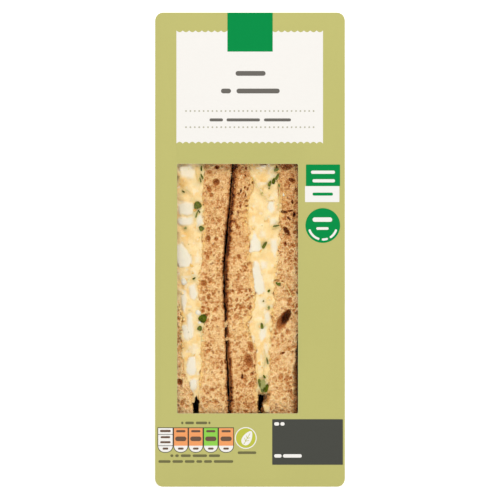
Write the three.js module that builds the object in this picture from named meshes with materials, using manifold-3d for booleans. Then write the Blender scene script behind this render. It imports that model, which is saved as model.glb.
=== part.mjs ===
// Egg and cress sandwich on malted bread, in its wedge-shaped card pack.
// Two halves of one sandwich, cut from corner to corner, stand side by side behind a clear window.
// Millimetres. +X to the right, +Z up. The pack stands on one leg of its wedge, and its front panel
// leans back at 45 degrees and faces -Y. The origin is under the middle of the pack.
//
// Everything is drawn in the panel's own frame and turned once at the end:
//   x      across the panel, 0 on its centre line
//   along  up the slope of the panel, 0 at its bottom edge
//   depth  into the pack, 0 on the outside of the front panel

import * as THREE from "three";
import { mergeVertices } from "three/addons/utils/BufferGeometryUtils.js";
import Module from "manifold-3d";

const wasm = await Module();
wasm.setup();

// Card
const CARD = 0.5;
const PANEL_WIDTH = 76;
const PANEL_HEIGHT = 189.8;
const PANEL_CORNER_RADIUS = 3.3;
const LEAN = Math.PI / 4;

// Wedge body behind the panel: a right triangle with its long side at the front
const BODY_WIDTH = 69.6;
const TOP_FLANGE = 8;
const BODY_HEIGHT = PANEL_HEIGHT - TOP_FLANGE;
const BACK_FOLD_RADIUS = 1.5;
const FLANGE_FOOT_CLEARANCE = 0.3;
const TRIM_BLOCK = 40;
const CORNER_SEGMENTS = 5;
const SMALL_CORNER_SEGMENTS = 2;

// Glue tab of the back wall, stuck on the outside of each side wall
const TAB_THICKNESS = 0.4;
const TAB_WIDTH = 13;
const TAB_EDGE_SETBACK = 0.6;
const TAB_FOOT = 3;
const TAB_HEAD = 124;
const TAB_TAPER = 11;

// Window and the film glued behind it
const WINDOW = { left: -29.1, right: 19.2, bottom: 29.4, top: 129.2, radius: 0.6 };
const FILM_THICKNESS = 0.2;
const FILM_MARGIN = 4;
const FILM_CORNER_RADIUS = 1;
const FIT_GAP = 0.3;

// Bread: half of a square slice cut from corner to corner
const BREAD_LEG = 119.5;
const BREAD_LIFT = 0.4;
const CUT_DEPTH = 3.6;
const CRUST_RADIUS = 9;
const SOFT_EDGE_DROP = 0.7;
const SOFT_EDGE_POWER = 4;
const SLICE_WAVE = 0.12;
const SLICE_WAVE_TURNS = { along: 0.19, depth: 0.24 };
const CUT_WAVE = 0.16;
const CUT_WAVE_TURNS = [
  { x: 1.3, along: 0.5 },
  { x: -1.9, along: 0.7 },
];
const SLICE_GRID = { along: 24, deep: 6, across: 4 };
const ROWS_CROWD_TO_CUT = 1.6;

// Filling: set back from the crusts, and thickest in the middle
const FILLING_FIRST = 37;
const FILLING_LAST = 149;
const FILLING_CRUST_MARGIN = 12;
const FILLING_CORNER_RADIUS = 20;
const FILLING_FACE_DEPTH = 3.5;
const FILLING_SIDE_GAP = 0.45;
const FILLING_LUMP = 0.45;
const FILLING_GRID = { along: 28, deep: 3, across: 5 };
const FILLING_FRONT_LIMIT = CARD + FIT_GAP + FILM_THICKNESS + FIT_GAP;
const SMEAR_CLEARANCE = 0.75;
const PINCH_START = 6;
const PINCH_END = 20;
const PINCHED_HALF_GAP = 1.2;

// Where each bread face meets the cut, in x, at stations along the panel from its bottom edge
const STATIONS = [4, 30, 40, 52, 65, 80, 100, 115, 129, 150, 174];
const FACES = {
  leftWall: STATIONS.map(() => -33.8),
  leftFillingLeft: [-22.6, -22.9, -24.4, -27.9, -28.6, -29, -29.1, -29, -28.7, -26, -22.8],
  leftFillingRight: [-20.2, -20.2, -20.6, -19.9, -18.8, -20, -18.9, -18.4, -18, -18.6, -20.2],
  leftHalfRight: [-8.8, -8.3, -9.2, -9.4, -9.6, -10.6, -9.9, -8.5, -7.3, -7.6, -8.8],
  rightHalfLeft: [-7.6, -7.4, -7.4, -8.1, -8.8, -9.3, -8.1, -7.2, -6.2, -6.6, -7.8],
  rightFillingLeft: [3.2, 3.2, 3.2, 2.7, 0.6, 1, 0.2, -0.3, -0.2, 1.4, 2.9],
  rightFillingRight: [5.4, 5.3, 6.5, 7.8, 9.1, 11.2, 12.2, 12.1, 10.7, 7.4, 5.2],
  rightWall: [17.4, 18, 17.8, 17.8, 18.8, 18.8, 18.8, 18.8, 18.6, 18.2, 17.2],
};

// The two faces of one filling close up together near the crusts
const FACE_ACROSS_FILLING = {
  leftFillingLeft: "leftFillingRight",
  leftFillingRight: "leftFillingLeft",
  rightFillingLeft: "rightFillingRight",
  rightFillingRight: "rightFillingLeft",
};

// Each slice and filling by its left face, its right face and the seed of its random draws
const SLICES = {
  left_outer_slice: ["leftWall", "leftFillingLeft", 11],
  left_inner_slice: ["leftFillingRight", "leftHalfRight", 37],
  right_inner_slice: ["rightHalfLeft", "rightFillingLeft", 41],
  right_outer_slice: ["rightFillingRight", "rightWall", 67],
};
const FILLINGS = {
  left_filling: ["leftFillingLeft", "leftFillingRight", 23],
  right_filling: ["rightFillingLeft", "rightFillingRight", 53],
};

// Large holes in the crumb: [x, along, width, height, tilt in degrees]
const CRUMB_HOLES = {
  left_outer_slice: [
    [-31.4, 52, 1.6, 2.4, 20],
    [-26, 33, 1.8, 2.6, -15],
  ],
  left_inner_slice: [
    [-13.6, 122, 3.2, 3.2, 0],
    [-13.2, 128, 2, 1.6, 0],
    [-16.2, 118, 1.8, 2.6, 10],
    [-16.8, 99.4, 2.2, 3, 0],
    [-13.6, 99.2, 1.8, 1.8, 0],
    [-18.2, 81, 2.2, 3.2, 0],
    [-16.6, 75.6, 1.8, 2, 0],
  ],
  right_inner_slice: [
    [0.2, 56, 2.4, 4.4, 8],
    [-1, 50, 3.2, 6, -12],
    [-5.6, 68, 1.8, 2.4, 0],
    [-2.8, 44, 2, 2.2, 0],
    [-4.4, 92, 1.8, 2.6, 20],
  ],
  right_outer_slice: [
    [13.6, 66.8, 3, 8, -14],
    [13.2, 110, 1.6, 2.4, 0],
    [16.8, 109, 1.8, 2, 0],
    [14.2, 102.4, 2, 3, 30],
    [13.8, 97.2, 1.6, 2.2, 0],
    [12.4, 44, 2.2, 3, -20],
  ],
};
const SMALL_HOLES_PER_SLICE = 9;
const SMALL_HOLE_WIDTH = [1.1, 1.9];
const SMALL_HOLE_STRETCH = 0.5;
const SMALL_HOLE_PLACES = [0.2, 0.8];
const ROUNDED_HOLE_WIDTH = 2.5;
const HOLE_SINK = 0.1;

// Chopped egg white that shows at the cut: [x, along, width, height, tilt in degrees]
const EGG_WHITE = {
  left_filling: [
    [-24.8, 126.8, 6, 5.6, 10],
    [-26.2, 111.8, 5.2, 7.2, -12],
    [-20.8, 108, 3, 5, 0],
    [-26.2, 92.4, 5.2, 8, 8],
    [-22, 90, 3.4, 4.6, 30],
    [-22.6, 78.8, 4, 5.6, 0],
    [-26.4, 74.6, 4.4, 7.2, 12],
    [-24.4, 68.6, 4, 4.6, -20],
    [-24, 62.6, 5, 5.6, 0],
    [-23.2, 48.4, 5.6, 6.4, 15],
    [-22.8, 41, 3.6, 4.4, 0],
  ],
  right_filling: [
    [4, 128.4, 3.6, 4.4, 0],
    [8.4, 112, 2.4, 3.6, 10],
    [4.8, 100.6, 3.6, 3.4, 0],
    [2, 96.6, 4.4, 8, 6],
    [9.4, 95.4, 3.4, 6.6, -8],
    [5.2, 87.6, 3.2, 4, 20],
    [2.4, 82.6, 3.8, 12.6, 4],
    [6.8, 67.4, 2.8, 5.2, -10],
    [5.8, 59.4, 2.6, 8.8, 0],
    [8, 122, 3, 3, 0],
  ],
};
const EGG_WHITE_THICKNESS = 3.4;
const EGG_WHITE_SINK = 0.5;
const EGG_WHITE_REACH = [0.92, 1.14];
const ROUNDED_PIECE_HEIGHT = 5.5;

// Cress leaves at the cut: [x, along, width, height, turn in degrees]
const CRESS = {
  left_filling: [
    [-21.2, 112.8, 2.6, 2.4, 20],
    [-21.2, 103.6, 1.8, 1.7, 80],
    [-20.6, 67.2, 2.4, 3, -30],
    [-21.8, 63.6, 1.7, 1.7, 0],
    [-22.6, 83.4, 1.4, 2.6, 40],
  ],
  right_filling: [
    [8, 121.6, 2.8, 2.2, 35],
    [9.8, 125.2, 2.4, 2, -40],
    [5.6, 96.4, 1.5, 3, 25],
    [10, 81.2, 1.8, 2.8, -20],
    [5.6, 74.4, 1.6, 1.6, 0],
    [5, 64.4, 1.5, 2.2, 15],
    [5, 41.6, 2.6, 3, 50],
    [6, 44.2, 2, 2.2, -35],
  ],
};
const LEAF_THICKNESS = 0.6;
const LEAF_LIFT = 0.05;
const LEAF_WAVE = 0.22;
const LEAF_WAVE_TURNS = { across: 2.2, up: 1.8 };

// A repeatable stream of numbers from 0 to 1
function seededDraw(seed) {
  let state = seed;
  return () => {
    state = (state * 1664525 + 1013904223) % 4294967296;
    return state / 4294967296;
  };
}

// A closed solid from a three.js geometry, without its collapsed triangles
function solidFrom(geometry) {
  const loose = geometry.index ? geometry.toNonIndexed() : geometry;
  const bare = new THREE.BufferGeometry();
  bare.setAttribute("position", loose.getAttribute("position"));
  const merged = mergeVertices(bare, 1e-4);
  const kept = [];
  for (let i = 0; i < merged.index.count; i += 3) {
    const [a, b, c] = merged.index.array.slice(i, i + 3);
    if (a !== b && b !== c && c !== a) kept.push(a, b, c);
  }
  const vertProperties = merged.attributes.position.array;
  const triVerts = new Uint32Array(kept);
  return new wasm.Manifold(new wasm.Mesh({ numProp: 3, vertProperties, triVerts }));
}

function geometryFrom(solid) {
  const { vertProperties, triVerts } = solid.getMesh();
  const geometry = new THREE.BufferGeometry();
  geometry.setAttribute("position", new THREE.BufferAttribute(vertProperties, 3));
  geometry.setIndex(new THREE.BufferAttribute(triVerts, 1));
  const faceted = geometry.toNonIndexed();
  faceted.computeVertexNormals();
  return faceted;
}

// The outer skin of a solid's largest body: no loose scraps, and no sealed hollows inside
function largestBody(solid) {
  return solid.decompose().sort((a, b) => b.volume() - a.volume())[0];
}

// Smooth height of a profile through one value at each station
function profileAt(values, along) {
  const last = STATIONS.length - 1;
  const clamped = THREE.MathUtils.clamp(along, STATIONS[0], STATIONS[last]);
  let i = 0;
  while (i < last - 1 && clamped > STATIONS[i + 1]) i += 1;
  const t = (clamped - STATIONS[i]) / (STATIONS[i + 1] - STATIONS[i]);
  return THREE.MathUtils.lerp(values[i], values[i + 1], THREE.MathUtils.smoothstep(t, 0, 1));
}

function roundedRectangle(left, bottom, right, top, radius) {
  const shape = new THREE.Shape();
  shape.moveTo(left + radius, bottom);
  shape.lineTo(right - radius, bottom);
  shape.absarc(right - radius, bottom + radius, radius, -Math.PI / 2, 0);
  shape.lineTo(right, top - radius);
  shape.absarc(right - radius, top - radius, radius, 0, Math.PI / 2);
  shape.lineTo(left + radius, top);
  shape.absarc(left + radius, top - radius, radius, Math.PI / 2, Math.PI);
  shape.lineTo(left, bottom + radius);
  shape.absarc(left + radius, bottom + radius, radius, Math.PI, 1.5 * Math.PI);
  return shape;
}

// A flat plate parallel to the front panel, between two depths
function plate(shape, frontDepth, backDepth, curveSegments) {
  const settings = { depth: backDepth - frontDepth, bevelEnabled: false, curveSegments };
  return new THREE.ExtrudeGeometry(shape, settings).translate(0, 0, -backDepth);
}

// A right-angled wedge with its long side at frontDepth and both legs moved in by inset
function wedge(width, frontDepth, inset, cornerRadius) {
  const footLine = inset * Math.SQRT2;
  const headLine = BODY_HEIGHT - inset * Math.SQRT2;
  const corner = { depth: (headLine - footLine) / 2, along: (headLine + footLine) / 2 };
  const set = cornerRadius / Math.SQRT2;
  const shape = new THREE.Shape();
  shape.moveTo(frontDepth, footLine + frontDepth);
  shape.lineTo(corner.depth - set, corner.along - set);
  shape.quadraticCurveTo(corner.depth, corner.along, corner.depth - set, corner.along + set);
  shape.lineTo(frontDepth, headLine - frontDepth);
  return acrossPack(shape, width);
}

// A shape drawn as (depth, along), extruded across the pack and centred on it
function acrossPack(shape, width) {
  const settings = { depth: width, bevelEnabled: false, curveSegments: SMALL_CORNER_SEGMENTS };
  const geometry = new THREE.ExtrudeGeometry(shape, settings).rotateY(Math.PI / 2);
  return geometry.translate(-width / 2, 0, 0);
}

// A point on the side wall, measured up the back edge and in from it
function backEdgePoint(up, inward) {
  const middle = BODY_HEIGHT / 2;
  return [middle - (up + inward) / Math.SQRT2, middle + (up - inward) / Math.SQRT2];
}

function glueTabs() {
  const shape = new THREE.Shape();
  shape.moveTo(...backEdgePoint(TAB_FOOT, TAB_EDGE_SETBACK));
  shape.lineTo(...backEdgePoint(TAB_HEAD, TAB_EDGE_SETBACK));
  shape.lineTo(...backEdgePoint(TAB_HEAD - TAB_TAPER, TAB_WIDTH));
  shape.lineTo(...backEdgePoint(TAB_FOOT + TAB_TAPER, TAB_WIDTH));
  return acrossPack(shape, BODY_WIDTH + 2 * TAB_THICKNESS);
}

// Panel with a double-thickness flange at the sides and the top, wedge body behind it,
// hollow inside and open at the window
function makeCarton() {
  const half = PANEL_WIDTH / 2;
  const outline = roundedRectangle(-half, 0, half, PANEL_HEIGHT, PANEL_CORNER_RADIUS);
  const footTrim = new THREE.BoxGeometry(2 * PANEL_WIDTH, TRIM_BLOCK, TRIM_BLOCK);
  footTrim.translate(0, 0, FLANGE_FOOT_CLEARANCE - TRIM_BLOCK / 2).rotateX(-LEAN);
  const panel = solidFrom(plate(outline, 0, 2 * CARD, CORNER_SEGMENTS)).subtract(solidFrom(footTrim));
  const { left, bottom, right, top, radius } = WINDOW;
  const windowShape = roundedRectangle(left, bottom, right, top, radius);
  return panel
    .add(solidFrom(wedge(BODY_WIDTH, 0, 0, BACK_FOLD_RADIUS)))
    .add(solidFrom(glueTabs()))
    .subtract(solidFrom(wedge(BODY_WIDTH - 2 * CARD, CARD, CARD, BACK_FOLD_RADIUS)))
    .subtract(solidFrom(plate(windowShape, -2 * CARD, 2 * CARD, SMALL_CORNER_SEGMENTS)));
}

function makeFilm() {
  const { left, bottom, right, top } = WINDOW;
  const m = FILM_MARGIN;
  const front = CARD + FIT_GAP;
  const shape = roundedRectangle(left - m, bottom - m, right + m, top + m, FILM_CORNER_RADIUS);
  return solidFrom(plate(shape, front, front + FILM_THICKNESS, SMALL_CORNER_SEGMENTS));
}

// Distance of a point from the nearer crust
const FOOT_CRUST = (CARD + BREAD_LIFT) * Math.SQRT2;
const HEAD_CRUST = FOOT_CRUST + 2 * (CUT_DEPTH + BREAD_LEG / Math.SQRT2);

function crustDistance(along, depth) {
  return Math.min(along - depth - FOOT_CRUST, HEAD_CRUST - along - depth) / Math.SQRT2;
}

// x of a bread face anywhere in the sandwich
function faceAt(name, along, depth) {
  const turns = SLICE_WAVE_TURNS;
  const wave = SLICE_WAVE * Math.sin(turns.along * along + turns.depth * depth + FACES[name][0]);
  const own = profileAt(FACES[name], along);
  if (!(name in FACE_ACROSS_FILLING)) return own + wave;
  const other = profileAt(FACES[FACE_ACROSS_FILLING[name]], along);
  const closed = (own + other) / 2 + Math.sign(own - other) * PINCHED_HALF_GAP;
  const open = THREE.MathUtils.smoothstep(crustDistance(along, depth), PINCH_START, PINCH_END);
  return THREE.MathUtils.lerp(closed, own, open) + wave;
}

// Outline of a half slice behind its cut: a blunt tip, a leg, the square corner, the other leg and
// the other tip. The tips are the slice's round corners, met square on by the cut.
function crustPath(footLine, headLine, depth, tipRadius, cornerRadius) {
  const firstEnd = depth + footLine + tipRadius * (Math.SQRT2 - 1);
  const lastEnd = headLine - depth - tipRadius * (Math.SQRT2 - 1);
  const cornerAlong = (footLine + headLine) / 2;
  const cornerDepth = (headLine - footLine) / 2 - cornerRadius * Math.SQRT2;
  const path = new THREE.Path();
  path.absarc(firstEnd + tipRadius, depth, tipRadius, Math.PI, 0.75 * Math.PI, true);
  path.absarc(cornerAlong, cornerDepth, cornerRadius, 0.75 * Math.PI, 0.25 * Math.PI, true);
  path.absarc(lastEnd - tipRadius, depth, tipRadius, 0.25 * Math.PI, 0, true);
  return { path, firstEnd, lastEnd };
}

// A block whose first side follows the cut and whose other sides follow the crust.
// place gives x and depth for each point from its share of the way across and its place.
// A block mirrored against its neighbours has the same triangles as they have where they face it.
function halfSliceBlock(outline, cutDepth, counts, mirrored, place) {
  const { path, firstEnd, lastEnd } = outline;
  const crust = path.getSpacedPoints(counts.along);
  const box = new THREE.BoxGeometry(1, 1, 1, counts.deep, counts.along, counts.across);
  const points = box.getAttribute("position");
  for (let i = 0; i < points.count; i += 1) {
    const inward = Math.pow(points.getX(i) + 0.5, ROWS_CROWD_TO_CUT);
    const step = Math.round((points.getY(i) + 0.5) * counts.along);
    const across = 0.5 + (mirrored ? -1 : 1) * points.getZ(i);
    const cutAlong = THREE.MathUtils.lerp(firstEnd, lastEnd, step / counts.along);
    const along = THREE.MathUtils.lerp(cutAlong, crust[step].x, inward);
    const depth = THREE.MathUtils.lerp(cutDepth, crust[step].y, inward);
    const placed = place(along, depth, across, inward === 0);
    points.setXYZ(i, placed.x, along, -placed.depth);
  }
  if (mirrored) box.index.array.reverse();
  return box;
}

// How far a point of the cut stands out or in: a rough, lightly torn crumb
function cutWave(x, along) {
  const waves = CUT_WAVE_TURNS.map((turns) => Math.sin(turns.x * x + turns.along * along));
  return CUT_WAVE * (waves[0] + waves[1]);
}

function breadOutline() {
  return crustPath(FOOT_CRUST, HEAD_CRUST, CUT_DEPTH, CRUST_RADIUS, CRUST_RADIUS);
}

function crumbHole(x, along, width, height, tilt) {
  const hole = new THREE.IcosahedronGeometry(1, width > ROUNDED_HOLE_WIDTH ? 1 : 0);
  hole.scale(width / 2, height / 2, Math.min(width, height) / 2);
  hole.rotateZ(THREE.MathUtils.degToRad(tilt));
  return solidFrom(hole.translate(x, along, -CUT_DEPTH - HOLE_SINK * width));
}

// Small holes spread evenly along the cut that shows in the window
function smallHole(leftFace, rightFace, step, draw) {
  const share = (step + draw()) / SMALL_HOLES_PER_SLICE;
  const along = THREE.MathUtils.lerp(WINDOW.bottom, WINDOW.top, share);
  const left = faceAt(leftFace, along, CUT_DEPTH);
  const right = faceAt(rightFace, along, CUT_DEPTH);
  const x = THREE.MathUtils.lerp(left, right, THREE.MathUtils.lerp(...SMALL_HOLE_PLACES, draw()));
  const width = THREE.MathUtils.lerp(...SMALL_HOLE_WIDTH, draw());
  return crumbHole(x, along, width, width * (1 + SMALL_HOLE_STRETCH * draw()), 90 * draw());
}

function makeSlice(name) {
  const [leftFace, rightFace, seed] = SLICES[name];
  const place = (along, depth, across, onCut) => {
    const left = faceAt(leftFace, along, depth);
    const right = faceAt(rightFace, along, depth);
    const x = THREE.MathUtils.lerp(left, right, across);
    if (!onCut) return { x, depth };
    const drop = SOFT_EDGE_DROP * Math.pow(Math.abs(2 * across - 1), SOFT_EDGE_POWER);
    return { x, depth: depth + drop + cutWave(x, along) };
  };
  let slice = solidFrom(halfSliceBlock(breadOutline(), CUT_DEPTH, SLICE_GRID, false, place));
  for (const hole of CRUMB_HOLES[name]) slice = slice.subtract(crumbHole(...hole));
  const draw = seededDraw(seed);
  for (let step = 0; step < SMALL_HOLES_PER_SLICE; step += 1) {
    slice = slice.subtract(smallHole(leftFace, rightFace, step, draw));
  }
  return largestBody(slice);
}

// Depth of the filling's front between its larger pieces
function fillingFront(x, along) {
  const lumps = Math.sin(1.1 * x + 0.4) * Math.sin(0.8 * along);
  const ridges = 0.6 * Math.sin(0.9 * x - 1.4 * along);
  return FILLING_FACE_DEPTH + FILLING_LUMP * (lumps + ridges);
}

// A block of egg white with soft corners, sunk into the filling's front
function eggWhitePiece([x, along, width, height, tilt], draw) {
  const ball = new THREE.IcosahedronGeometry(1, height > ROUNDED_PIECE_HEIGHT ? 1 : 0);
  const block = mergeVertices(ball.deleteAttribute("normal").deleteAttribute("uv"), 1e-4);
  const points = block.getAttribute("position");
  const point = new THREE.Vector3();
  for (let i = 0; i < points.count; i += 1) {
    point.fromBufferAttribute(points, i).multiplyScalar(THREE.MathUtils.lerp(...EGG_WHITE_REACH, draw()));
    points.setXYZ(i, point.x, point.y, point.z);
  }
  block.scale(width / 2, height / 2, EGG_WHITE_THICKNESS / 2);
  block.rotateZ(THREE.MathUtils.degToRad(tilt));
  return solidFrom(block.translate(x, along, -fillingFront(x, along) - EGG_WHITE_SINK));
}

// A thin wavy oval leaf lying on the filling: a square sheet drawn out into an oval
function cressLeaf([x, along, width, height, turn]) {
  const leaf = new THREE.BoxGeometry(2, 2, LEAF_THICKNESS, 3, 3, 1);
  const points = leaf.getAttribute("position");
  for (let i = 0; i < points.count; i += 1) {
    const across = points.getX(i);
    const up = points.getY(i);
    const round = Math.max(Math.abs(across), Math.abs(up)) / Math.hypot(across, up);
    const wave = Math.sin(LEAF_WAVE_TURNS.across * across) * Math.cos(LEAF_WAVE_TURNS.up * up);
    const height3 = points.getZ(i) + LEAF_WAVE * wave;
    points.setXYZ(i, (across * round * width) / 2, (up * round * height) / 2, height3);
  }
  leaf.rotateZ(THREE.MathUtils.degToRad(turn));
  return solidFrom(leaf.translate(x, along, LEAF_LIFT - fillingFront(x, along)));
}

// Room that the filling may take: between its two slices, and a little over their cut edges
function fillingRoom(leftFace, rightFace) {
  const place = (along, depth, across, onCut) => {
    const left = faceAt(leftFace, along, depth) + FILLING_SIDE_GAP;
    const right = faceAt(rightFace, along, depth) - FILLING_SIDE_GAP;
    return { x: across < 0.5 ? left : right, depth: onCut ? FILLING_FRONT_LIMIT : depth };
  };
  const counts = { ...SLICE_GRID, across: 1 };
  const between = solidFrom(halfSliceBlock(breadOutline(), CUT_DEPTH, counts, true, place));
  const smearBack = CUT_DEPTH - SMEAR_CLEARANCE;
  const overEdges = new THREE.BoxGeometry(BODY_WIDTH, BODY_HEIGHT, smearBack - FILLING_FRONT_LIMIT);
  overEdges.translate(0, BODY_HEIGHT / 2, -(smearBack + FILLING_FRONT_LIMIT) / 2);
  return between.add(solidFrom(overEdges));
}

function fillingOutline() {
  const footLine = FOOT_CRUST + FILLING_CRUST_MARGIN * Math.SQRT2;
  const tipRadius = (FILLING_FIRST - FILLING_FACE_DEPTH - footLine) / (Math.SQRT2 - 1);
  const headLine = FILLING_LAST + FILLING_FACE_DEPTH + tipRadius * (Math.SQRT2 - 1);
  return crustPath(footLine, headLine, FILLING_FACE_DEPTH, tipRadius, FILLING_CORNER_RADIUS);
}

function makeFilling(name) {
  const [leftFace, rightFace, seed] = FILLINGS[name];
  const place = (along, depth, across, onCut) => {
    const left = faceAt(leftFace, along, depth);
    const right = faceAt(rightFace, along, depth);
    const x = THREE.MathUtils.lerp(left, right, across);
    return { x, depth: onCut ? fillingFront(x, along) : depth };
  };
  const draw = seededDraw(seed);
  let filling = solidFrom(halfSliceBlock(fillingOutline(), FILLING_FACE_DEPTH, FILLING_GRID, true, place));
  for (const size of EGG_WHITE[name]) filling = filling.add(eggWhitePiece(size, draw));
  for (const size of CRESS[name]) filling = filling.add(cressLeaf(size));
  return largestBody(filling.intersect(fillingRoom(leftFace, rightFace)));
}

const materials = {
  card: new THREE.MeshStandardMaterial({ color: 0xc4c076, roughness: 0.55, metalness: 0 }),
  film: new THREE.MeshStandardMaterial({
    color: 0xf4f6f6,
    roughness: 0.08,
    metalness: 0,
    transparent: true,
    opacity: 0.15,
  }),
  bread: new THREE.MeshStandardMaterial({ color: 0xd2a36c, roughness: 0.95, metalness: 0 }),
  filling: new THREE.MeshStandardMaterial({ color: 0xf3e2a6, roughness: 0.6, metalness: 0 }),
};

function piece(name, solid, material) {
  const mesh = new THREE.Mesh(geometryFrom(solid), material.clone());
  mesh.name = name;
  return mesh;
}

// The panel's frame, turned so that the wedge stands on its lower leg
const leaning = new THREE.Group();
leaning.add(piece("carton", makeCarton(), materials.card));
leaning.add(piece("window_film", makeFilm(), materials.film));
for (const name of Object.keys(SLICES)) leaning.add(piece(name, makeSlice(name), materials.bread));
for (const name of Object.keys(FILLINGS)) leaning.add(piece(name, makeFilling(name), materials.filling));
leaning.rotation.x = LEAN;
leaning.position.y = -(PANEL_HEIGHT * Math.cos(LEAN) + 2 * CARD * Math.sin(LEAN)) / 2;

const pack = new THREE.Group();
pack.add(leaning);

export default pack;
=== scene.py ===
"""Looks of an egg and cress sandwich in its wedge-shaped card pack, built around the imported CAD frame.

Pieces are drawn in the front panel's own frame and leaned back once they are finished:
    x      across the panel, 0 on its centre line
    along  up the slope of the panel, 0 at its bottom edge
    depth  into the pack, 0 on the outside of the front panel
Tables and geometry are in millimetres; what a user would change is in metres in the property groups.
"""

import math

import bmesh
import bpy
import numpy as np
from bpy.props import FloatProperty, FloatVectorProperty, IntProperty, PointerProperty
from mathutils import Matrix, Vector, noise


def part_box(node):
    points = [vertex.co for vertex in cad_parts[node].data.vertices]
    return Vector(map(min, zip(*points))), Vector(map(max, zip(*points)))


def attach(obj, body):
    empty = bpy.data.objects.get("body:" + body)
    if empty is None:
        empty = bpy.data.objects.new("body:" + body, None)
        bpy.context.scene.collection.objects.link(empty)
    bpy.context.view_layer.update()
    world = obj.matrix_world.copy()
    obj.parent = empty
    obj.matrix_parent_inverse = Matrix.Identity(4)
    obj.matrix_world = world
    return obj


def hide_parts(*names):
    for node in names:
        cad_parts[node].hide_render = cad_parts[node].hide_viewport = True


bl_info = {
    "name": "Packed Egg and Cress Sandwich",
    "version": (1, 0, 0),
    "blender": (4, 5, 0),
    "location": "3D View > Sidebar > Sandwich",
    "description": "Builds a packed egg and cress sandwich around its CAD frame",
    "category": "Add Mesh",
}

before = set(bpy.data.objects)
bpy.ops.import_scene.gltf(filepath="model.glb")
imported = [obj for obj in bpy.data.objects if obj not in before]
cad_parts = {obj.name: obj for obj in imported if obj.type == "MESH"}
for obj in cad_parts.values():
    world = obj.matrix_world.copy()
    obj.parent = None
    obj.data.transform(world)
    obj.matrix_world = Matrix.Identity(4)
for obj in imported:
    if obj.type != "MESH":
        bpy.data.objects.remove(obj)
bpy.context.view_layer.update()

MM = 0.001
BODY = "root"
LEAN = math.radians(45)
CARTON_LOW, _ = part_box("carton")
FOOT_Y = CARTON_LOW.y / MM
PANEL_TO_WORLD = Matrix.Translation((0, CARTON_LOW.y, 0)) @ Matrix.Rotation(LEAN, 4, "X")
OUTWARD = Vector((0, -math.sin(LEAN), math.cos(LEAN)))
UPWARD = Vector((0, math.cos(LEAN), math.sin(LEAN)))

# The photograph is taken as 500 px across and shows the panel square on
FRAME_PIXELS = 500
MM_PER_PIXEL = 0.4
PANEL_MIDDLE_PIXEL = 250
PANEL_FOOT_PIXEL = 486.9

# Card pack, as in the CAD model
PANEL = {"half_width": 38, "height": 189.8}
BODY_HALF_WIDTH = 34.8
BODY_HEIGHT = 181.8
TOP_FLANGE = 8
FLANGE_HALF_WIDTH = 37.85
TRAY_DEPTH = 1
WALL = BODY_HEIGHT * math.cos(LEAN)
BACK_FOLD_RADIUS = 1.5
SIDE_FOLD_RADIUS = 0.35
CARD_GAP = 0.02
CARD_EDGE_BEVEL = 0.12
TAB_EDGE_BEVEL = 0.06
WINDOW = {"left": -29.1, "right": 19.2, "bottom": 29.4, "top": 129.2, "radius": 0.6}
TAB = {"thickness": 0.4, "width": 13, "setback": 0.6, "foot": 3, "head": 124, "taper": 11}

# Sandwich, as in the CAD model
STATIONS = np.array([4, 30, 40, 52, 65, 80, 100, 115, 129, 150, 174], float)
FACES = {
    "left_wall": [-33.8] * 11,
    "left_filling_left": [-22.6, -22.9, -24.4, -27.9, -28.6, -29, -29.1, -29, -28.7, -26, -22.8],
    "left_filling_right": [-20.2, -20.2, -20.6, -19.9, -18.8, -20, -18.9, -18.4, -18, -18.6, -20.2],
    "left_half_right": [-8.8, -8.3, -9.2, -9.4, -9.6, -10.6, -9.9, -8.5, -7.3, -7.6, -8.8],
    "right_half_left": [-7.6, -7.4, -7.4, -8.1, -8.8, -9.3, -8.1, -7.2, -6.2, -6.6, -7.8],
    "right_filling_left": [3.2, 3.2, 3.2, 2.7, 0.6, 1, 0.2, -0.3, -0.2, 1.4, 2.9],
    "right_filling_right": [5.4, 5.3, 6.5, 7.8, 9.1, 11.2, 12.2, 12.1, 10.7, 7.4, 5.2],
    "right_wall": [17.4, 18, 17.8, 17.8, 18.8, 18.8, 18.8, 18.8, 18.6, 18.2, 17.2],
}
# Each filling: its left face, its right face and the seed of its mash
FILLINGS = {
    "left_filling": ("left_filling_left", "left_filling_right", 23),
    "right_filling": ("right_filling_left", "right_filling_right", 53),
}
FACE_ACROSS_FILLING = {}
for left_face, right_face, _ in FILLINGS.values():
    FACE_ACROSS_FILLING[left_face] = right_face
    FACE_ACROSS_FILLING[right_face] = left_face
BREAD_LEG = 119.5
FOOT_CRUST = 0.9 * math.sqrt(2)
CUT_DEPTH = 3.6
HEAD_CRUST = FOOT_CRUST + 2 * (CUT_DEPTH + BREAD_LEG / math.sqrt(2))
CRUST_RADIUS = 9
PINCH = {"start": 6, "end": 20, "half_gap": 1.2}
CRUST_FADE = (2.2, 0.6)
SLICE_WAVE = {"height": 0.12, "along": 0.19, "depth": 0.24}
FILLING_SPAN = {"first": 37, "last": 149, "crust_margin": 12, "corner": 20, "depth": 3.5}

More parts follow.
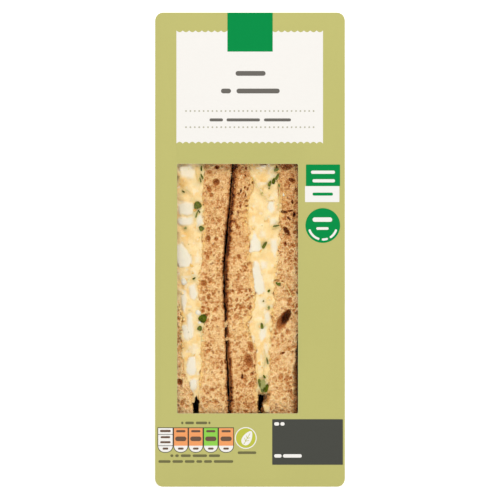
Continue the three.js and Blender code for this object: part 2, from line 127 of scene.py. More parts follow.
# How far the knife has dragged a face aside at the cut: (along, shift)
GAP_SHIFT = [
    (30, -0.3), (75, -0.4), (81, -0.2), (86, -0.6), (90, -0.75), (95, -0.4), (100, -0.15), (108, -0.3),
    (115, 0),
]
CUT_SHIFT = {
    "left_filling_left": [
        (46, 0), (49, 0.4), (52, 1), (58, 1.3), (62, 1), (69, 1.8), (72, 1), (75, 0),
    ],
    "left_filling_right": [
        (64, 0), (70, -0.8), (78, -1.1), (84, -1.2), (89, -0.2), (112, -0.3), (122, -1),
    ],
    "left_half_right": GAP_SHIFT,
    "right_half_left": GAP_SHIFT,
    "right_filling_left": [
        (57, 0), (62, -0.9), (66, -0.7), (69, 0.6), (73, 1.2), (79, 1.3), (84, 0.8), (88, 0), (94, -0.4),
        (102, 0.1), (107, -0.8), (111, -0.3), (116, 0.8), (121, 1.5), (125, 1.1), (129, 0.2),
    ],
    "right_filling_right": [
        (46, 0), (54, -0.3), (62, -0.8), (67, -0.5), (71, -1.1), (80, -1.7), (86, -1.2), (93, -0.6),
        (120, -0.6), (126, 0),
    ],
}

# How much paler or browner the crumb is painted along a slice, partly its own tone and partly painted light
# and shade that follow the card's shadow at the window's edges: (along, change of its height share)
CRUMB_TONE_AND_PAINTED_LIGHT = {
    "left_outer_slice": [(30, 0.07), (70, 0.07)],
    "left_inner_slice": [(30, 0)],
    "right_inner_slice": [
        (46, -0.08), (56, 0), (66, 0.06), (74, 0), (90, 0), (98, -0.06), (124, -0.05), (129, 0.04),
    ],
    "right_outer_slice": [
        (45, 0.03), (78, 0.03), (85, 0.06), (92, 0), (100, -0.02), (110, -0.10), (116, -0.15),
    ],
}

# Each slice: its left face, its right face, the seed of its crumb, how far its cut rounds over at its
# left and right edges as (width, drop), the drop also setting the painted shade on that edge, and the
# height share its sides are painted with, a painted shade for the gaps they face
SLICES = {
    "left_outer_slice": ("left_wall", "left_filling_left", 11, (1.2, 0.6), (0.8, 0.2), 0.28),
    "left_inner_slice": ("left_filling_right", "left_half_right", 37, (0.8, 0.2), (0.8, 0.9), 0.28),
    "right_inner_slice": ("right_half_left", "right_filling_left", 41, (1.5, 2), (0.8, 0.2), 0.28),
    "right_outer_slice": ("right_filling_right", "right_wall", 67, (0.8, 0.2), (0.7, 0.5), 0.2),
}

# Fine shape of the bread: what a side closes of the gap behind the cut, a lobe of crumb over the foot of
# the left filling, a slice that reaches the wall, a hollow at the foot of the right filling, and ragged
# sides. Rows are (where a change starts, where it is complete)
CRUMB_STEP = 0.21
LEAST_GAP = 0.12
GAP_CLOSED = {"left_half_right": 0.1, "right_half_left": -0.35}
FOOT_LOBE = {"along": 37.6, "width": 1.9, "reach": 1.5}
WALL_REACH = {"x": 19.1, "most": 1.3, "rows": (47, 56)}
HOLLOW = {"reach": 0.6, "reach_rows": (38.5, 37), "rows": (39, 37), "round": (2.6, 2.4)}
# Painted shade that darkens the crumb across the hollow
HOLLOW_PAINTED_SHADE = {"dark": 0.45, "across": (2.4, 1.2)}
WIDER_ROUND = {"by": 1.1, "rows": (112, 120)}
RAGGED = {"fine": (0.5, 0.34), "broad": (2.2, 0.28), "power": 6}
SHALLOW = {"depth": 0.7, "edge": 0.9, "least": 0.25}
# How much painted shade darkens a cut where it rounds over at an edge
PAINTED_EDGE_SHADE = 0.28

# Torn crumb: how a pit falls away and how dark its painted shade gets, random pores and grains, with the
# grains painted paler as a painted highlight, layers of noise as (size, height, change of the height
# share) where higher crumb is painted paler, how open the pores are, how large holes clear the crumb, and
# the rim's share and how far a pit's floor lowers it with painted shade. What varies softly is (mean, swing,
# feature size)
PIT = {"wall": 0.36, "shade": 0.4, "dark": 0.4, "painted_shade_by_depth": 0.3}
PORES = {"smallest": 0.15, "range": 0.62, "power": 3.4, "stretch": 0.6, "depth": (0.7, 1.4)}
GRAINS = {"radius": (0.14, 0.34), "stretch": (1, 1.8), "depth": (0.7, 1.2), "per_pore": 0.55}
GRAIN_RISE = {"height": 0.6, "share": 0.26}
CRUMB_NOISE = [(0.5, 0.10, 0.10), (1.6, 0.16, 0.07)]
BROAD_NOISE = (4.5, 0.28)
OPENNESS = (0.66, 0.38, 5.5)
HOLES = {"wobble": (0, 0.12, 0.9), "smooth": 0.92, "rim": 2.5}
CRUMB_SHARE = {"rim": 0.68, "floor": 0.66}
LOW_ROWS = {"rows": (86, 74), "openness": 0.14, "share": 0.045}

# Filling rubbed into the crumb: how far it reaches, how patchy it is, and where it reaches further
# as (along, spread, extra reach)
SMEAR = {"reach": (1.5, 1.3, 9), "patches": (0.75, 0.6, 1.8), "least": 0.4, "strength": 1.4}
SMEAR_HUMPS = {
    "right_inner_slice": [(108, 14, 3.2), (66, 6, 3)],
    "right_outer_slice": [(116, 8, 1.8)],
}

# Large holes in the crumb: [x, along, width, height, tilt in degrees, depth]
CRUMB_HOLES = {
    "left_outer_slice": [
        [-31.4, 52, 1.6, 2.4, 20, 1.2], [-27.2, 33.4, 1.9, 2.8, -15, 1],
        [-28.2, 41.8, 2.4, 2.8, 0, 1.9], [-26, 50.8, 1.8, 3.2, -20, 1],
    ],
    "left_inner_slice": [
        [-13.6, 122, 2.9, 3, 0, 1.6], [-13.2, 128, 2.2, 1.8, 0, 1.5], [-16.4, 119.2, 2.2, 3, 10, 1],
        [-15.5, 116.8, 1.9, 2, 0, 0.8], [-16.8, 99.4, 2.2, 3, 0, 1.3],
        [-13.6, 99.2, 1.8, 1.8, 0, 0.8], [-16.2, 126, 2.2, 1.8, 0, 0.7], [-18.6, 81.4, 2.7, 2.8, 0, 1],
        [-16.6, 75.6, 1.4, 2, 0, 1], [-17, 92, 1.6, 2.6, 0, 0.7], [-13.8, 71, 1.9, 1.9, 0, 0.8],
        [-17, 56.4, 1.2, 1.4, 0, 0.9], [-15.2, 38.8, 2, 1.6, 15, 1],
    ],
    "right_inner_slice": [
        [0.2, 56, 2.5, 4.5, 8, 1.2], [-0.6, 50.4, 3.6, 6.2, 14, 1.4], [-5.5, 68.1, 2.4, 2.8, 0, 0.8],
        [1, 121.7, 0.7, 1.6, -20, 1.3], [-0.1, 120.9, 0.9, 0.9, 0, 1],
        [-2.1, 119.8, 0.8, 1.2, -20, 1], [-1, 119.2, 0.7, 1.6, -15, 1.1],
        [-3.7, 118.4, 0.8, 1.9, -10, 1.4], [-4.5, 117.2, 1.1, 1.5, 30, 0.9],
        [-1.8, 116.7, 0.7, 1.2, 0, 1.1], [-1.2, 114.4, 2, 1, 0, 1.2],
        [-3.9, 112.4, 0.9, 1.6, -15, 1], [-4.8, 109.7, 0.8, 1.4, 0, 1],
        [-1.8, 124.6, 0.8, 1, 0, 1.2], [-1.6, 127.6, 1, 1.6, 0, 1.1], [-3.1, 44, 1.1, 2.6, 0, 1.7],
        [-4.4, 92, 1.8, 2.6, 20, 0.8], [0, 71.6, 1, 2.4, 0, 1.6], [-1.4, 112.4, 1.6, 1, 10, 1],
    ],
    "right_outer_slice": [
        [12.8, 66.6, 3.7, 9.2, -27, 2.2], [14, 67.9, 2.9, 6.8, -22, 7.5],
        # The shallow hole at (14.2, 128.2) is a dark patch under the window's top edge: painted shade,
        # partly brown crust
        [14.2, 128.2, 4.6, 2.6, 0, 0.5], [16.4, 114, 0.8, 2, 15, 1.2],
        [13.4, 110, 3, 1.1, -8, 1.7], [15.6, 110.4, 2.2, 0.8, 5, 1.3],
        [17, 109, 1.1, 2.4, -10, 1.9], [15.1, 107.4, 0.8, 2, 40, 1.2],
        [14.4, 102.2, 1.9, 4.4, 28, 2], [18.2, 102, 0.9, 2.6, 0, 1.2],
        [16.2, 122.8, 2.6, 1.8, -20, 1.3], [13.8, 97.2, 1.2, 2.2, 0, 1.3], [12.4, 44, 2.2, 3, -20, 0.9],
        [15.4, 74.6, 1.9, 2.6, -10, 0.9], [14.4, 62, 1.6, 2.4, 0, 0.8], [12.6, 53.4, 2, 1.1, 20, 1.4],
        [16.6, 38, 1.3, 2.2, 0, 1.1], [10.4, 82.6, 1.4, 1.2, 0, 1],
    ],
}

# Front of the filling: slow waves, and how far it stands out at the upper end of the left one
FRONT_WAVE = {"height": 0.22, "lump": (1.1, 0.4, 0.8), "ridge": (0.6, 0.9, 1.4)}
RAISED_END = {"by": 1.4, "rows": (119, 125)}
# Mash: mesh step, how far it spreads over the bread as (mean, broad part, fine part) with the sizes of
# the two parts on each side, and layers of noise as (size, height)
MASH_STEP = 0.23
MASH_SPREAD = (0.35, 0.6, 0.3)
SPREAD_SIZES = ((2.4, 0.8), (2.1, 0.9))
SPREAD_ROOM = 2
WIDER_SPREAD = {"by": 0.9, "rows": (66, 74)}
MASH_NOISE = [(2.6, 0.20), (1.2, 0.11), (0.55, 0.06)]
# Lower end of the mash: how far it hangs everywhere, and further as (length, share across where it
# starts, share where it is complete)
TONGUES = {
    "left_filling": (0.6, [(2.4, 0.62, 0.5), (1.4, 0.74, 0.86)]),
    "right_filling": (-0.4, [(0.9, 0.3, 0.8)]),
}
TONGUE_END = {"reach": 5, "uneven": (0, 0.5, 0.4)}
THIN_END = {"reach": 3, "drop": 1.2}
SUNK_EDGE = {"drop": 1.1, "power": 11, "uneven": (0.35, 0.8, 2.8), "least": 0.05}
# Colour of the mash: patches as (feature size, level where they start, strength), gold beside the
# bread, how stains and the tint around leaves fade, and how uneven they are as (mean, swing, size)
WHITE_PATCHES = (1.5, 0.45, 0.4)
GOLD_PATCHES = (2.6, 0.4, 0.45)
PATCH_EDGE = 0.3
GOLD_EDGE = {"width": 1.1, "uneven": (0.2, 0.35, 2.2)}
GOLD_STAIN = {"stretch": 0.8, "fade": 1.8, "uneven": (0.75, 0.45, 0.9)}
LEAF_TINT = {"strength": 0.55, "margin": 0.9, "fade": 1.6, "uneven": (0.6, 0.6, 1.1)}

# Chopped egg white at the cut: softness of its edge, and its corners as (x, along)
EGG_WHITE = {
    "left_filling": [
        (0.8, [(-28.8, 128.6), (-23.6, 128.8), (-21.6, 126.1), (-22.6, 123.2), (-27.8, 124.1)]),
        (0.45, [(-28.7, 113.3), (-25.2, 114.1), (-22.7, 113.3),
                (-22.7, 109.1), (-24.9, 108.4), (-28.5, 109.3)]),
        (0.45, [(-28.9, 107.6), (-22.9, 108), (-22.9, 105.1), (-27.2, 104.4), (-29.1, 105.3)]),
        (0.3, [(-21.3, 107.8), (-19.9, 109.1), (-18.5, 105.8), (-21.2, 104.4)]),
        (0.15, [(-29.5, 96.4), (-27.5, 97.2), (-24.5, 93.4), (-23.3, 90.8),
                (-23.9, 88.4), (-28.5, 88), (-29.6, 90.8)]),
        (0.9, [(-22.5, 92.6), (-20, 92.4), (-20, 89.3), (-22.4, 89.6)]),
        (1, [(-23.9, 86.8), (-21.5, 86.4), (-21.2, 83.8), (-23.5, 83.8)]),
        (0.3, [(-24.5, 80.4), (-22.2, 81.3), (-21.1, 77.4), (-22.2, 74.4), (-24, 76.1)]),
        (0.4, [(-27.2, 78.8), (-25.7, 78.4), (-25.2, 73.4), (-26.5, 70.1), (-27.7, 72.8)]),
        (0.35, [(-25.2, 68.8), (-23.5, 69.8), (-22.7, 65.1), (-22.7, 60), (-24.2, 59), (-25.3, 63.1)]),
        (0.3, [(-27.4, 64.6), (-25.4, 64.6), (-24, 61.4), (-24.6, 58.6), (-26, 59.2), (-26.9, 61.6)]),
        (1, [(-23.5, 57.4), (-21.2, 56.9), (-21.2, 53.8), (-23.3, 53.8)]),
        (0.15, [(-24.3, 51.5), (-22.2, 52), (-21.7, 49.1), (-21.9, 45.4),
                (-23.5, 44.4), (-25.3, 45.6), (-25.2, 49.1)]),
        (0.2, [(-23.9, 42.8), (-21.2, 43.3), (-21.5, 39.4), (-23.2, 38), (-24.2, 40.8)]),
    ],
    "right_filling": [
        (0.6, [(3.5, 129.1), (6.9, 129.1), (6.3, 127.3), (4.1, 127.3)]),
        (0.25, [(7.5, 114), (9.3, 114.4), (9.8, 110.8), (8.3, 109.7), (7.1, 111.8)]),
        (0.6, [(7.8, 107.4), (10.5, 107.8), (10.5, 105.3), (8.1, 104.9)]),
        (0.9, [(4, 103.6), (6.3, 102.1), (6.3, 99.4), (4.1, 100)]),
        (0.2, [(1.8, 101.4), (4.3, 97.4), (4.3, 94.4), (-0.7, 94), (0, 97.4)]),
        (0.55, [(8.1, 98.8), (10.8, 99.4), (11.1, 94.8), (9.8, 92.2), (8.5, 94.8)]),
        (0.7, [(4.1, 90.8), (6.9, 89.8), (6.9, 87.3), (4.5, 87.1)]),
        (0.15, [(1.8, 90.2), (3.1, 90), (5.5, 81.4), (5.9, 77.8), (3.5, 76.9), (0.8, 79.4), (0.4, 84.1)]),
        (1, [(2.9, 75.4), (6.1, 76), (6.9, 71.8), (3.6, 71.3)]),
        (0.5, [(5.8, 69.4), (7.5, 70.6), (8.3, 66.8), (6.1, 65.3)]),
        (0.3, [(4.3, 63.1), (6.5, 64.1), (6.3, 60.1), (4.6, 58), (3.7, 60.8)]),
        (0.85, [(5.5, 58), (7.1, 57.4), (7.3, 53.4), (5.6, 52)]),
    ],
}
CHUNK_EDGE = {"sharpness": 5, "growth": (0.26, -0.22, 0.9)}
CHUNK_FRONT = {"out": 0.3, "swing": 0.15, "lean": 0.14, "dome": 0.1, "dome_width": 1.2, "first_out": 1.5}
CHUNK_GROOVE = {"depth": 0.10, "uneven": (0.6, 1, 2), "from_edge": 0.3, "width": 0.25}
# How far a piece covers the mash with its shape and with its white: where that starts outside its
# edge, over what width, how much wider for a soft edge, and how much weaker for a soft edge
CHUNK_SHAPE_COVER = (0.12, 0.5, 0.8, 0.5)
CHUNK_WHITE_COVER = (0.35, 0.7, 1.3, 0.35)

# Loose egg white on the mash and on the crumb: [x, along, width, height, tilt, depth]
LOOSE_WHITE = [
    [13.5, 117, 0.9, 1.9, 10, 3.9], [-20.8, 69.6, 2, 2.2, 30, 3.8], [-20.2, 65.6, 1.6, 1.5, -20, 3.9],
    [-26.5, 82, 2.3, 3, 15, 3.8], [8, 99.2, 1.2, 1.8, -10, 4.1],
]
LOOSE_THICKNESS = 1.5
CHOPPED = {
    "cut": (0.82, 0.98), "turn": 0.5, "lean": (-0.1, 0.4), "bevel": 0.2, "voxel": 0.3, "rough": (1.5, 0.32),
}
# Mash stuck to the corner of the crumb: (x, along, width, height, tilt, depth)
LOOSE_MASH = (6.7, 31.3, 2.8, 3.9, 5, 3.9)
# Orange stains in the mash: [x, along, size]
GOLD_STAINS = {
    "left_filling": [
        [-27, 121.6, 2.4], [-26.4, 100.8, 3.9], [-28.6, 119.4, 1.8], [-27.6, 69, 2.2],
        [-28.8, 81, 1.8], [-26.3, 66.8, 1.5], [-25.3, 51, 1.6], [-24.2, 86, 1.2],
    ],
    "right_filling": [
        [4.8, 122.4, 2.6], [1.4, 127.6, 2.6], [10.6, 127.8, 2.2], [11.2, 93.8, 1.2], [2.4, 90.6, 1.4],
        [4.8, 52, 1.4],
    ],
}

# Cress leaves at the cut: [x, along, width, height, turn in degrees, paleness]
CRESS_LEAVES = {
    "left_filling": [
        [-21, 112.8, 3, 3, 20, 0.1], [-21.4, 109, 0.6, 3, -15, 0.3],
        [-20.4, 110.2, 0.5, 1.5, 40, 0], [-19.5, 103.5, 2, 2.3, 40, 0.15],
        [-25.8, 103.6, 1, 1, 0, 0.5], [-26.7, 118.2, 0.5, 1.5, 60, 0],
        [-19.4, 127.4, 0.6, 2.2, 0, 0], [-19.2, 124.2, 0.6, 2.6, 22, 0.1],
        [-19.9, 122.8, 0.5, 2.2, 15, 0.2], [-18.8, 67.4, 3.2, 3.5, -38, 0],
        [-20.1, 63.4, 1.9, 2, -20, 0.1], [-22.4, 83.4, 0.6, 1.5, -60, 0],
    ],
    "right_filling": [
        [10.9, 124.2, 1.1, 3, -25, 0.1], [9.5, 122.4, 1.2, 2.6, -10, 0],
        [7.9, 121.4, 1.1, 2.6, -18, 0.1], [10.5, 127, 2.2, 1.4, 25, 0.3],
        [7.7, 119.5, 0.7, 0.7, 0, 0.2], [4.9, 117.5, 0.8, 0.7, 0, 0.5], [11.6, 120.6, 0.6, 1.5, 10, 0.2],
        [5.8, 96.8, 1.3, 3.2, -32, 0.1], [10.5, 104.4, 0.6, 2.8, -80, 0.2],
        [11.2, 81.3, 1.3, 2.3, 60, 0.1], [7.6, 78.4, 0.9, 1.3, -40, 0], [5.4, 74.3, 0.6, 0.7, 0, 0],
        [7.5, 71.6, 0.8, 1.6, -10, 0.5], [4.8, 64.4, 1.1, 2.6, 8, 0.1], [6.9, 50.4, 0.6, 3, 12, 0.3],
        [5.1, 41, 2.4, 4, -10, 0.6], [4, 41.6, 1.6, 3.4, 18, 0.12], [6.4, 39.4, 1.9, 3.6, -25, 0],
        [5, 38.6, 1.5, 2.2, 10, 0.25], [5.7, 44, 0.8, 1.6, 30, 0],
    ],
}

LEAF = {
    "rows": 10, "columns": 8, "round": 0.7, "narrow": 0.28, "cup": (0.24, 1.5), "curl": 0.1,
    "wave": (0.16, 2.3, 1.9), "tip": 0.3, "above": 0.42, "thickness": 0.16,
}

# Thin cress stems: points as (x, along, how far above the filling's front)
CRESS_STEMS = [
    [(1.2, 123.6, 0.1), (3.4, 119.6, 0.35), (5.6, 116.4, 0.3), (7.4, 114.8, 0.3), (10, 114.8, 0.1)],
    [(11.4, 121, 0.1), (11.9, 117.6, 0.3), (11.8, 114.6, 0.3), (11.2, 111, 0.1)],
    [(-21.8, 126.6, 0.2), (-21, 124, 0.4), (-20, 122.2, 0.3), (-19.4, 121, 0.1)],
    [(10.6, 81.6, 0.3), (12.6, 81.9, 0.8), (14.4, 80.4, 0.9), (15.7, 78.2, 0.9), (16.7, 75.8, 0.6)],
    [(-25.8, 119, 0.1), (-24.6, 118.2, 0.3), (-23.8, 117.4, 0.1)],
    [(8.6, 103.4, 0.1), (9.6, 103.8, 0.35), (10.8, 103.6, 0.1)],
    [(5.8, 55, 0.1), (6.1, 51, 0.4), (5.6, 47.6, 0.3), (5.4, 45, 0.1)],
    [(-9.3, 79, 0.2), (-8.4, 79.6, 0.6), (-7.4, 80.6, 0.2)],
]
STEM = {"radius": 0.15, "above": 0.25}

# Small lumps. Of the loose crumbs some bridge the gap: (along, span)
LUMP = {"squeeze": (0.7, 1.25), "feature": 0.45, "rough": 0.4}
EGG_BITS = {"rows": (38, 129), "margin": 0.2, "size": (0.8, 1.1), "sunk": 0.3}
MASH_BITS = {"rows": (40, 129), "out": (0.3, 0.45), "size": (0.45, 1.1)}
CRUMBS = {
    "rows": (30, 129),
    "size": (0.25, 0.6),
    "left_edge": {"out": (-0.15, 0.5), "depth": (0, 0.9)},
    "right_edge": {"out": (0.6, 1.5), "depth": (0.1, 0.5)},
    "seam": {"spread": 0.35, "depth": -0.1},
    "cut": {"across": (0.06, 0.94), "depth": 0.05},
    "share": (0.62, 0.25, 0.8),
}
CRUMB_BRIDGES = [(65.2, 1.6), (59.2, 0.7)]
BRIDGE = {"per_span": 16, "left": 0.1, "right": 1.3, "spread": 0.3, "depth": (0.1, 0.9), "size": (0.6, 1.1)}

# Print, in pixels of the photograph. A bar or field is (left, top, right, bottom)
TITLE_BARS = [
    (235.6, 71, 265.6, 75.8),
    (221, 88.6, 231, 93.4),
    (236.5, 88.6, 279.7, 93.4),
    (209.5, 118.4, 223, 121.4),
    (226.5, 118.4, 260, 121.4),
    (264, 118.4, 291, 121.4),
]
DOTTED_LINES = {"rows": (111, 127.2), "first": 186, "step": 4.4, "count": 30, "radius": 0.9}
LABEL = (176.4, 30.5, 323, 143.5)
SCALLOPS = {"count": 23, "depth": 1.7, "steps_each": 20}
LABEL_TAB = (227.4, 12.6, 272.7, 51.6)
OFFER_BADGE = {
    "dark": (305.9, 164.5, 340.1, 186.1),
    "pale": (305, 186.1, 339.4, 202.1),
    "pale_bars": [(311, 170.6, 335, 173.8), (312.5, 179.2, 335, 182.4)],
    "dark_bars": [(312.5, 192.6, 333, 195.6)],
    "round": 0.7,
}
ENERGY_BADGE = {
    "centre": (322.8, 225.5),
    "radius": 17.4,
    "bars": [(312.6, 217.4, 332.2, 221.8), (316.3, 227.2, 328.6, 229.8)],
    "arc_radius": 14,
    "arc_width": 2.2,
    "arcs": [(196, 256), (266, 291), (300, 344)],
}
NUTRITION = {
    "columns": (157.5, 173.3, 188.3, 203.3, 218.3, 233.9),
    "fields": ("label_white", "amber", "amber", "light_green", "amber"),
    "top": 427.4,
    "split": 445.7,
    "bottom": 452.7,
    "round": 6.9,
    "outline": 0.7,
    "figures": [(431.2, 4.6, 1.1), (438.8, 5.6, 2.3), (448.6, 2.8, 1)],
    "words": [(431, 5.4, 1.1), (437.2, 4.8, 1), (442.2, 5.2, 1), (448.6, 2.8, 1)],
    "lines": (434.4, 445.7),
    "line_inset": 0.45,
    "line_half": 0.25,
}
# Rows of short bars: (top, bottom) and where each bar starts and ends
SMALL_PRINT = {
    (421.6, 424.2): [(181.2, 183.4), (185.2, 194), (195.8, 207.2), (208.4, 210.4)],
    (454.4, 457): [(170.4, 173.4), (175.2, 178.8), (180.8, 190.8), (192.6, 207), (208.8, 220)],
    (460.2, 462.8): [
        (158.4, 170.6), (172.4, 183), (184.8, 194.6), (196.4, 202.2), (204, 212), (213.8, 233.2),
    ],
}
# Diet roundel; its veins are (start, end, turn in degrees) along the leaf
ROUNDEL = {
    "centre": (245.8, 438),
    "radius": 10.9,
    "field": 9.9,
    "bar": (237.7, 451.4, 256.3, 454),
    "leaf": (7.8, 4.5),
    "leaf_shift": 1.6,
    "taper": 0.3,
    "turn": 60,
    "vein_half_width": 0.28,
    "veins": [(-7.2, 5.6, 0), (-3.6, 0, 48), (-3.6, 0, -48), (-0.4, 2.6, 48), (-0.4, 2.6, -48)],
}
DATE_BOX = {
    "field": (272.2, 419.2, 342.9, 464.8),
    "round": 0.6,
    "bars": [
        (274.2, 422.2, 279.2, 425.6),
        (280.4, 422.2, 284.6, 425.6),
        (274.2, 454.2, 281.6, 457.6),
        (283, 454.2, 301.8, 457.6),
    ],
}
PANEL_LIGHT = 1.4
PRINT_LEVELS = (0.02, 0.035, 0.05, 0.065)

# Lights: turn to the right and lift up the panel in degrees, from straight out of it; distance and
# size in metres
LIGHTS = {
    "key_light": {"turn": 14, "lift": 43, "distance": 1.4, "size": 0.8, "tint": (1.0, 0.985, 0.96)},
    "fill_light": {"turn": -32, "lift": -12, "distance": 1.2, "size": 0.8, "tint": (1.0, 1.0, 1.0)},
}
LIT_POINT = (0, 94, 0)
FLOOR_RADIUS = 2.2
SENSOR_WIDTH = 36

# Mesh building: layers of a half slice from its cut to its crust, rows in one block of cuts, most
# cuts that Blender makes at once, and how close in metres two places count as one
DEEP_SHARES = np.array([0, 0.035, 0.08, 0.14, 0.22, 0.32, 0.44, 0.58, 0.72, 0.86, 1])
ROW_BLOCK = 20
MOST_CUTS = 100
NEAR = 1e-5
SMOOTH_ANGLE = math.radians(30)


def srgb(red, green, blue):
    """A colour given as it looks, 0 to 255, as the linear colour that shaders take."""
    shares = [channel / 255 for channel in (red, green, blue)]
    return tuple(s / 12.92 if s <= 0.04045 else ((s + 0.055) / 1.055) ** 2.4 for s in shares)


def shade(colour, factor):
    return tuple(min(1.0, channel * factor) for channel in colour)


def length_property(name, description, default):
    return FloatProperty(name=name, description=description, default=default, unit="LENGTH")


def number_property(name, description, default):
    kind = IntProperty if isinstance(default, int) else FloatProperty
    return kind(name=name, description=description, default=default)


def colour_property(name, description, look, light=1.0):
    """A colour that shows as look when this much light falls on it."""
    default = shade(srgb(*look), 1 / light)
    return FloatVectorProperty(
        name=name, description=description, subtype="COLOR", size=3, min=0, max=1, default=default
    )


def card_colour(name, description, look):
    """A colour of the card, which shows as look under the light on the panel."""
    return colour_property(name, description, look, PANEL_LIGHT)


class CardSettings(bpy.types.PropertyGroup):
    """Card pack and its print."""

    thickness: length_property("Card thickness", "Thickness of the folded card", 0.0005)
    corner_radius: length_property("Corner radius", "Radius of the panel's corners", 0.0033)
    green: card_colour("Card green", "Olive green print that covers the pack", (198, 194, 119))
    label_white: card_colour("Label white", "White print of the label and badges", (250, 247, 242))
    deep_green: card_colour("Deep green", "Green of the label's tab and the badges", (0, 146, 72))
    text_grey: card_colour("Bar grey", "Bars across the label", (112, 108, 102))
    ink: card_colour("Ink", "Dark edges and lines of the nutrition panel", (70, 68, 58))
    figures: card_colour("Column bars", "Bars in the nutrition columns", (112, 88, 72))
    small_print: card_colour("Short bars", "Rows of short bars", (118, 114, 76))
    box_grey: card_colour("Box grey", "Dark box in the lower corner", (76, 77, 71))
    amber: card_colour("Amber", "Amber fields of the nutrition panel", (250, 166, 106))
    light_green: card_colour("Light green", "Green field of the nutrition panel", (150, 216, 84))
    leaf_yellow: card_colour("Roundel field", "Field of the diet roundel", (198, 200, 76))
    dots: card_colour("Dotted lines", "Dotted lines on the label", (190, 187, 165))
    board: card_colour("Board", "Uncoated inside of the card", (196, 176, 142))
    cut_edge: card_colour("Cut edge", "Cut edges of the card", (214, 207, 152))


class BreadSettings(bpy.types.PropertyGroup):
    """Malted bread."""

    pores_per_cm2: number_property("Pores", "Pores in each square centimetre of cut crumb", 170.0)
    row_step: length_property("Crumb detail", "Mesh step in the window", 0.00022)
    crumbs: number_property("Crumbs", "Loose crumbs on the cut", 330)
    # Rims are a painted highlight; the pore and deep-hole colours are painted shade
    crumb_pale_painted_highlight: colour_property("Crumb, rims", "Rims between the pores", (248, 218, 165))
    crumb_tan: colour_property("Crumb", "Main colour of the crumb", (223, 178, 119))
    crumb_brown_painted_shade: colour_property("Crumb, pores", "Inside of the pores", (184, 114, 55))
    crumb_deep_painted_shade: colour_property("Crumb, deep holes", "Bottom of the large holes", (84, 36, 10))
    crust: colour_property("Crust", "Baked crust", (150, 92, 44))
    malt: colour_property("Malt flakes", "Toasted flakes in the crumb", (140, 78, 36))
    oil: colour_property("Filling smears", "Filling rubbed into the crumb", (240, 200, 128))


class FillingSettings(bpy.types.PropertyGroup):
    """Egg mayonnaise and cress."""

    bits: number_property("Egg bits", "Small bits of egg on each filling", 36)
    mash_gold: colour_property("Mash, gold", "Yolk-rich parts and stains of the mash", (238, 188, 100))
    mash_cream: colour_property("Mash, cream", "Main colour of the mash", (240, 210, 149))
    mash_pale: colour_property("Mash, pale", "Palest parts of the mash", (244, 222, 172))
    egg_white: colour_property("Egg white", "Chopped egg white", (232, 225, 205))
    cress: colour_property("Cress leaf", "Dark green leaf", (90, 100, 4))
    cress_deep: colour_property("Cress leaf, deep", "Darkest green of the leaf", (54, 62, 3))
    leaf_tint: colour_property("Leaf tint", "Mash that a leaf shows through", (186, 184, 116))
    stem: colour_property("Cress stem", "Pale stem", (226, 206, 132))
    green_fleck: colour_property("Green flecks", "Tiny bits of cress in the mash", (120, 118, 60))


class StageSettings(bpy.types.PropertyGroup):
    """Floor, lights and camera."""

    camera_distance: length_property("Camera distance", "From the camera to the panel", 1.8)
    floor: colour_property("Floor", "Pale floor", (250, 250, 250))
    sky_strength: number_property("Sky", "Strength of the even light", 0.84)
    key_power: number_property("Key light", "Power of the soft main light", 10.9)
    fill_power: number_property("Fill light", "Power of the soft side light", 1.45)


# Modelling steps


def pick(*pieces):
    """Leave only these pieces selected, the first one active."""
    if bpy.context.object and bpy.context.object.mode != "OBJECT":
        bpy.ops.object.mode_set(mode="OBJECT")
    bpy.ops.object.select_all(action="DESELECT")
    for piece in pieces:
        piece.select_set(True)
    if pieces:
        bpy.context.view_layer.objects.active = pieces[0]


def named(name):
    """The primitive just added, named, with its place moved into its mesh."""
    piece = bpy.context.object
    piece.name = name
    piece.data.name = name
    bpy.ops.object.transform_apply(location=True, rotation=True, scale=True)
    return piece


def spot(x, along, depth):
    """A point of the panel's frame, from millimetres to metres."""
    return Vector((x, along, -depth)) * MM


def cube(name, low, high):
    """A cube primitive between two corners in metres."""
    pick()
    size = [abs(b - a) for a, b in zip(low, high)]
    bpy.ops.mesh.primitive_cube_add(size=1, location=(low + high) / 2, scale=size)
    return named(name)


def block(name, low, high):
    """A cube between two corners given as (x, along, depth)."""
    return cube(name, spot(*low), spot(*high))


def disc(name, x, along, front, radius, sides):
    """A thin round plate on the panel, from the card to the given height above it."""
    pick()
    thickness = front + CARD_GAP
    middle = spot(x, along, -front + thickness / 2)
    bpy.ops.mesh.primitive_cylinder_add(
        vertices=sides, radius=radius * MM, depth=thickness * MM, location=middle
    )
    return named(name)


def choose(piece, part, test=lambda item: True):
    """Go to edit mode and select the vertices, edges or faces that pass the test."""
    if piece.mode != "EDIT":
        pick(piece)
        bpy.ops.object.mode_set(mode="EDIT")
    bpy.ops.mesh.select_mode(type=part)
    bpy.ops.mesh.select_all(action="DESELECT")
    mesh = bmesh.from_edit_mesh(piece.data)
    for item in {"VERT": mesh.verts, "EDGE": mesh.edges, "FACE": mesh.faces}[part]:
        if test(item):
            item.select_set(True)
    mesh.select_flush_mode()
    bmesh.update_edit_mesh(piece.data)


def choose_edges(piece, test):
    """Select the edges whose two ends both pass the test."""
    choose(piece, "EDGE", lambda edge: all(test(vertex) for vertex in edge.verts))


def extrude(way):
    bpy.ops.mesh.extrude_edges_move(TRANSFORM_OT_translate={"value": way})


def split_edges(piece, axis, count):
    """Cut all edges along one axis into this many parts, in two rounds where one takes too many cuts."""
    rounds = (ROW_BLOCK, count // ROW_BLOCK) if count > MOST_CUTS else (count,)
    for parts in rounds:
        choose(piece, "EDGE", lambda edge: edge_runs(edge, axis))
        bpy.ops.mesh.subdivide(number_cuts=parts - 1)


def leave_edit():
    bpy.ops.object.mode_set(mode="OBJECT")


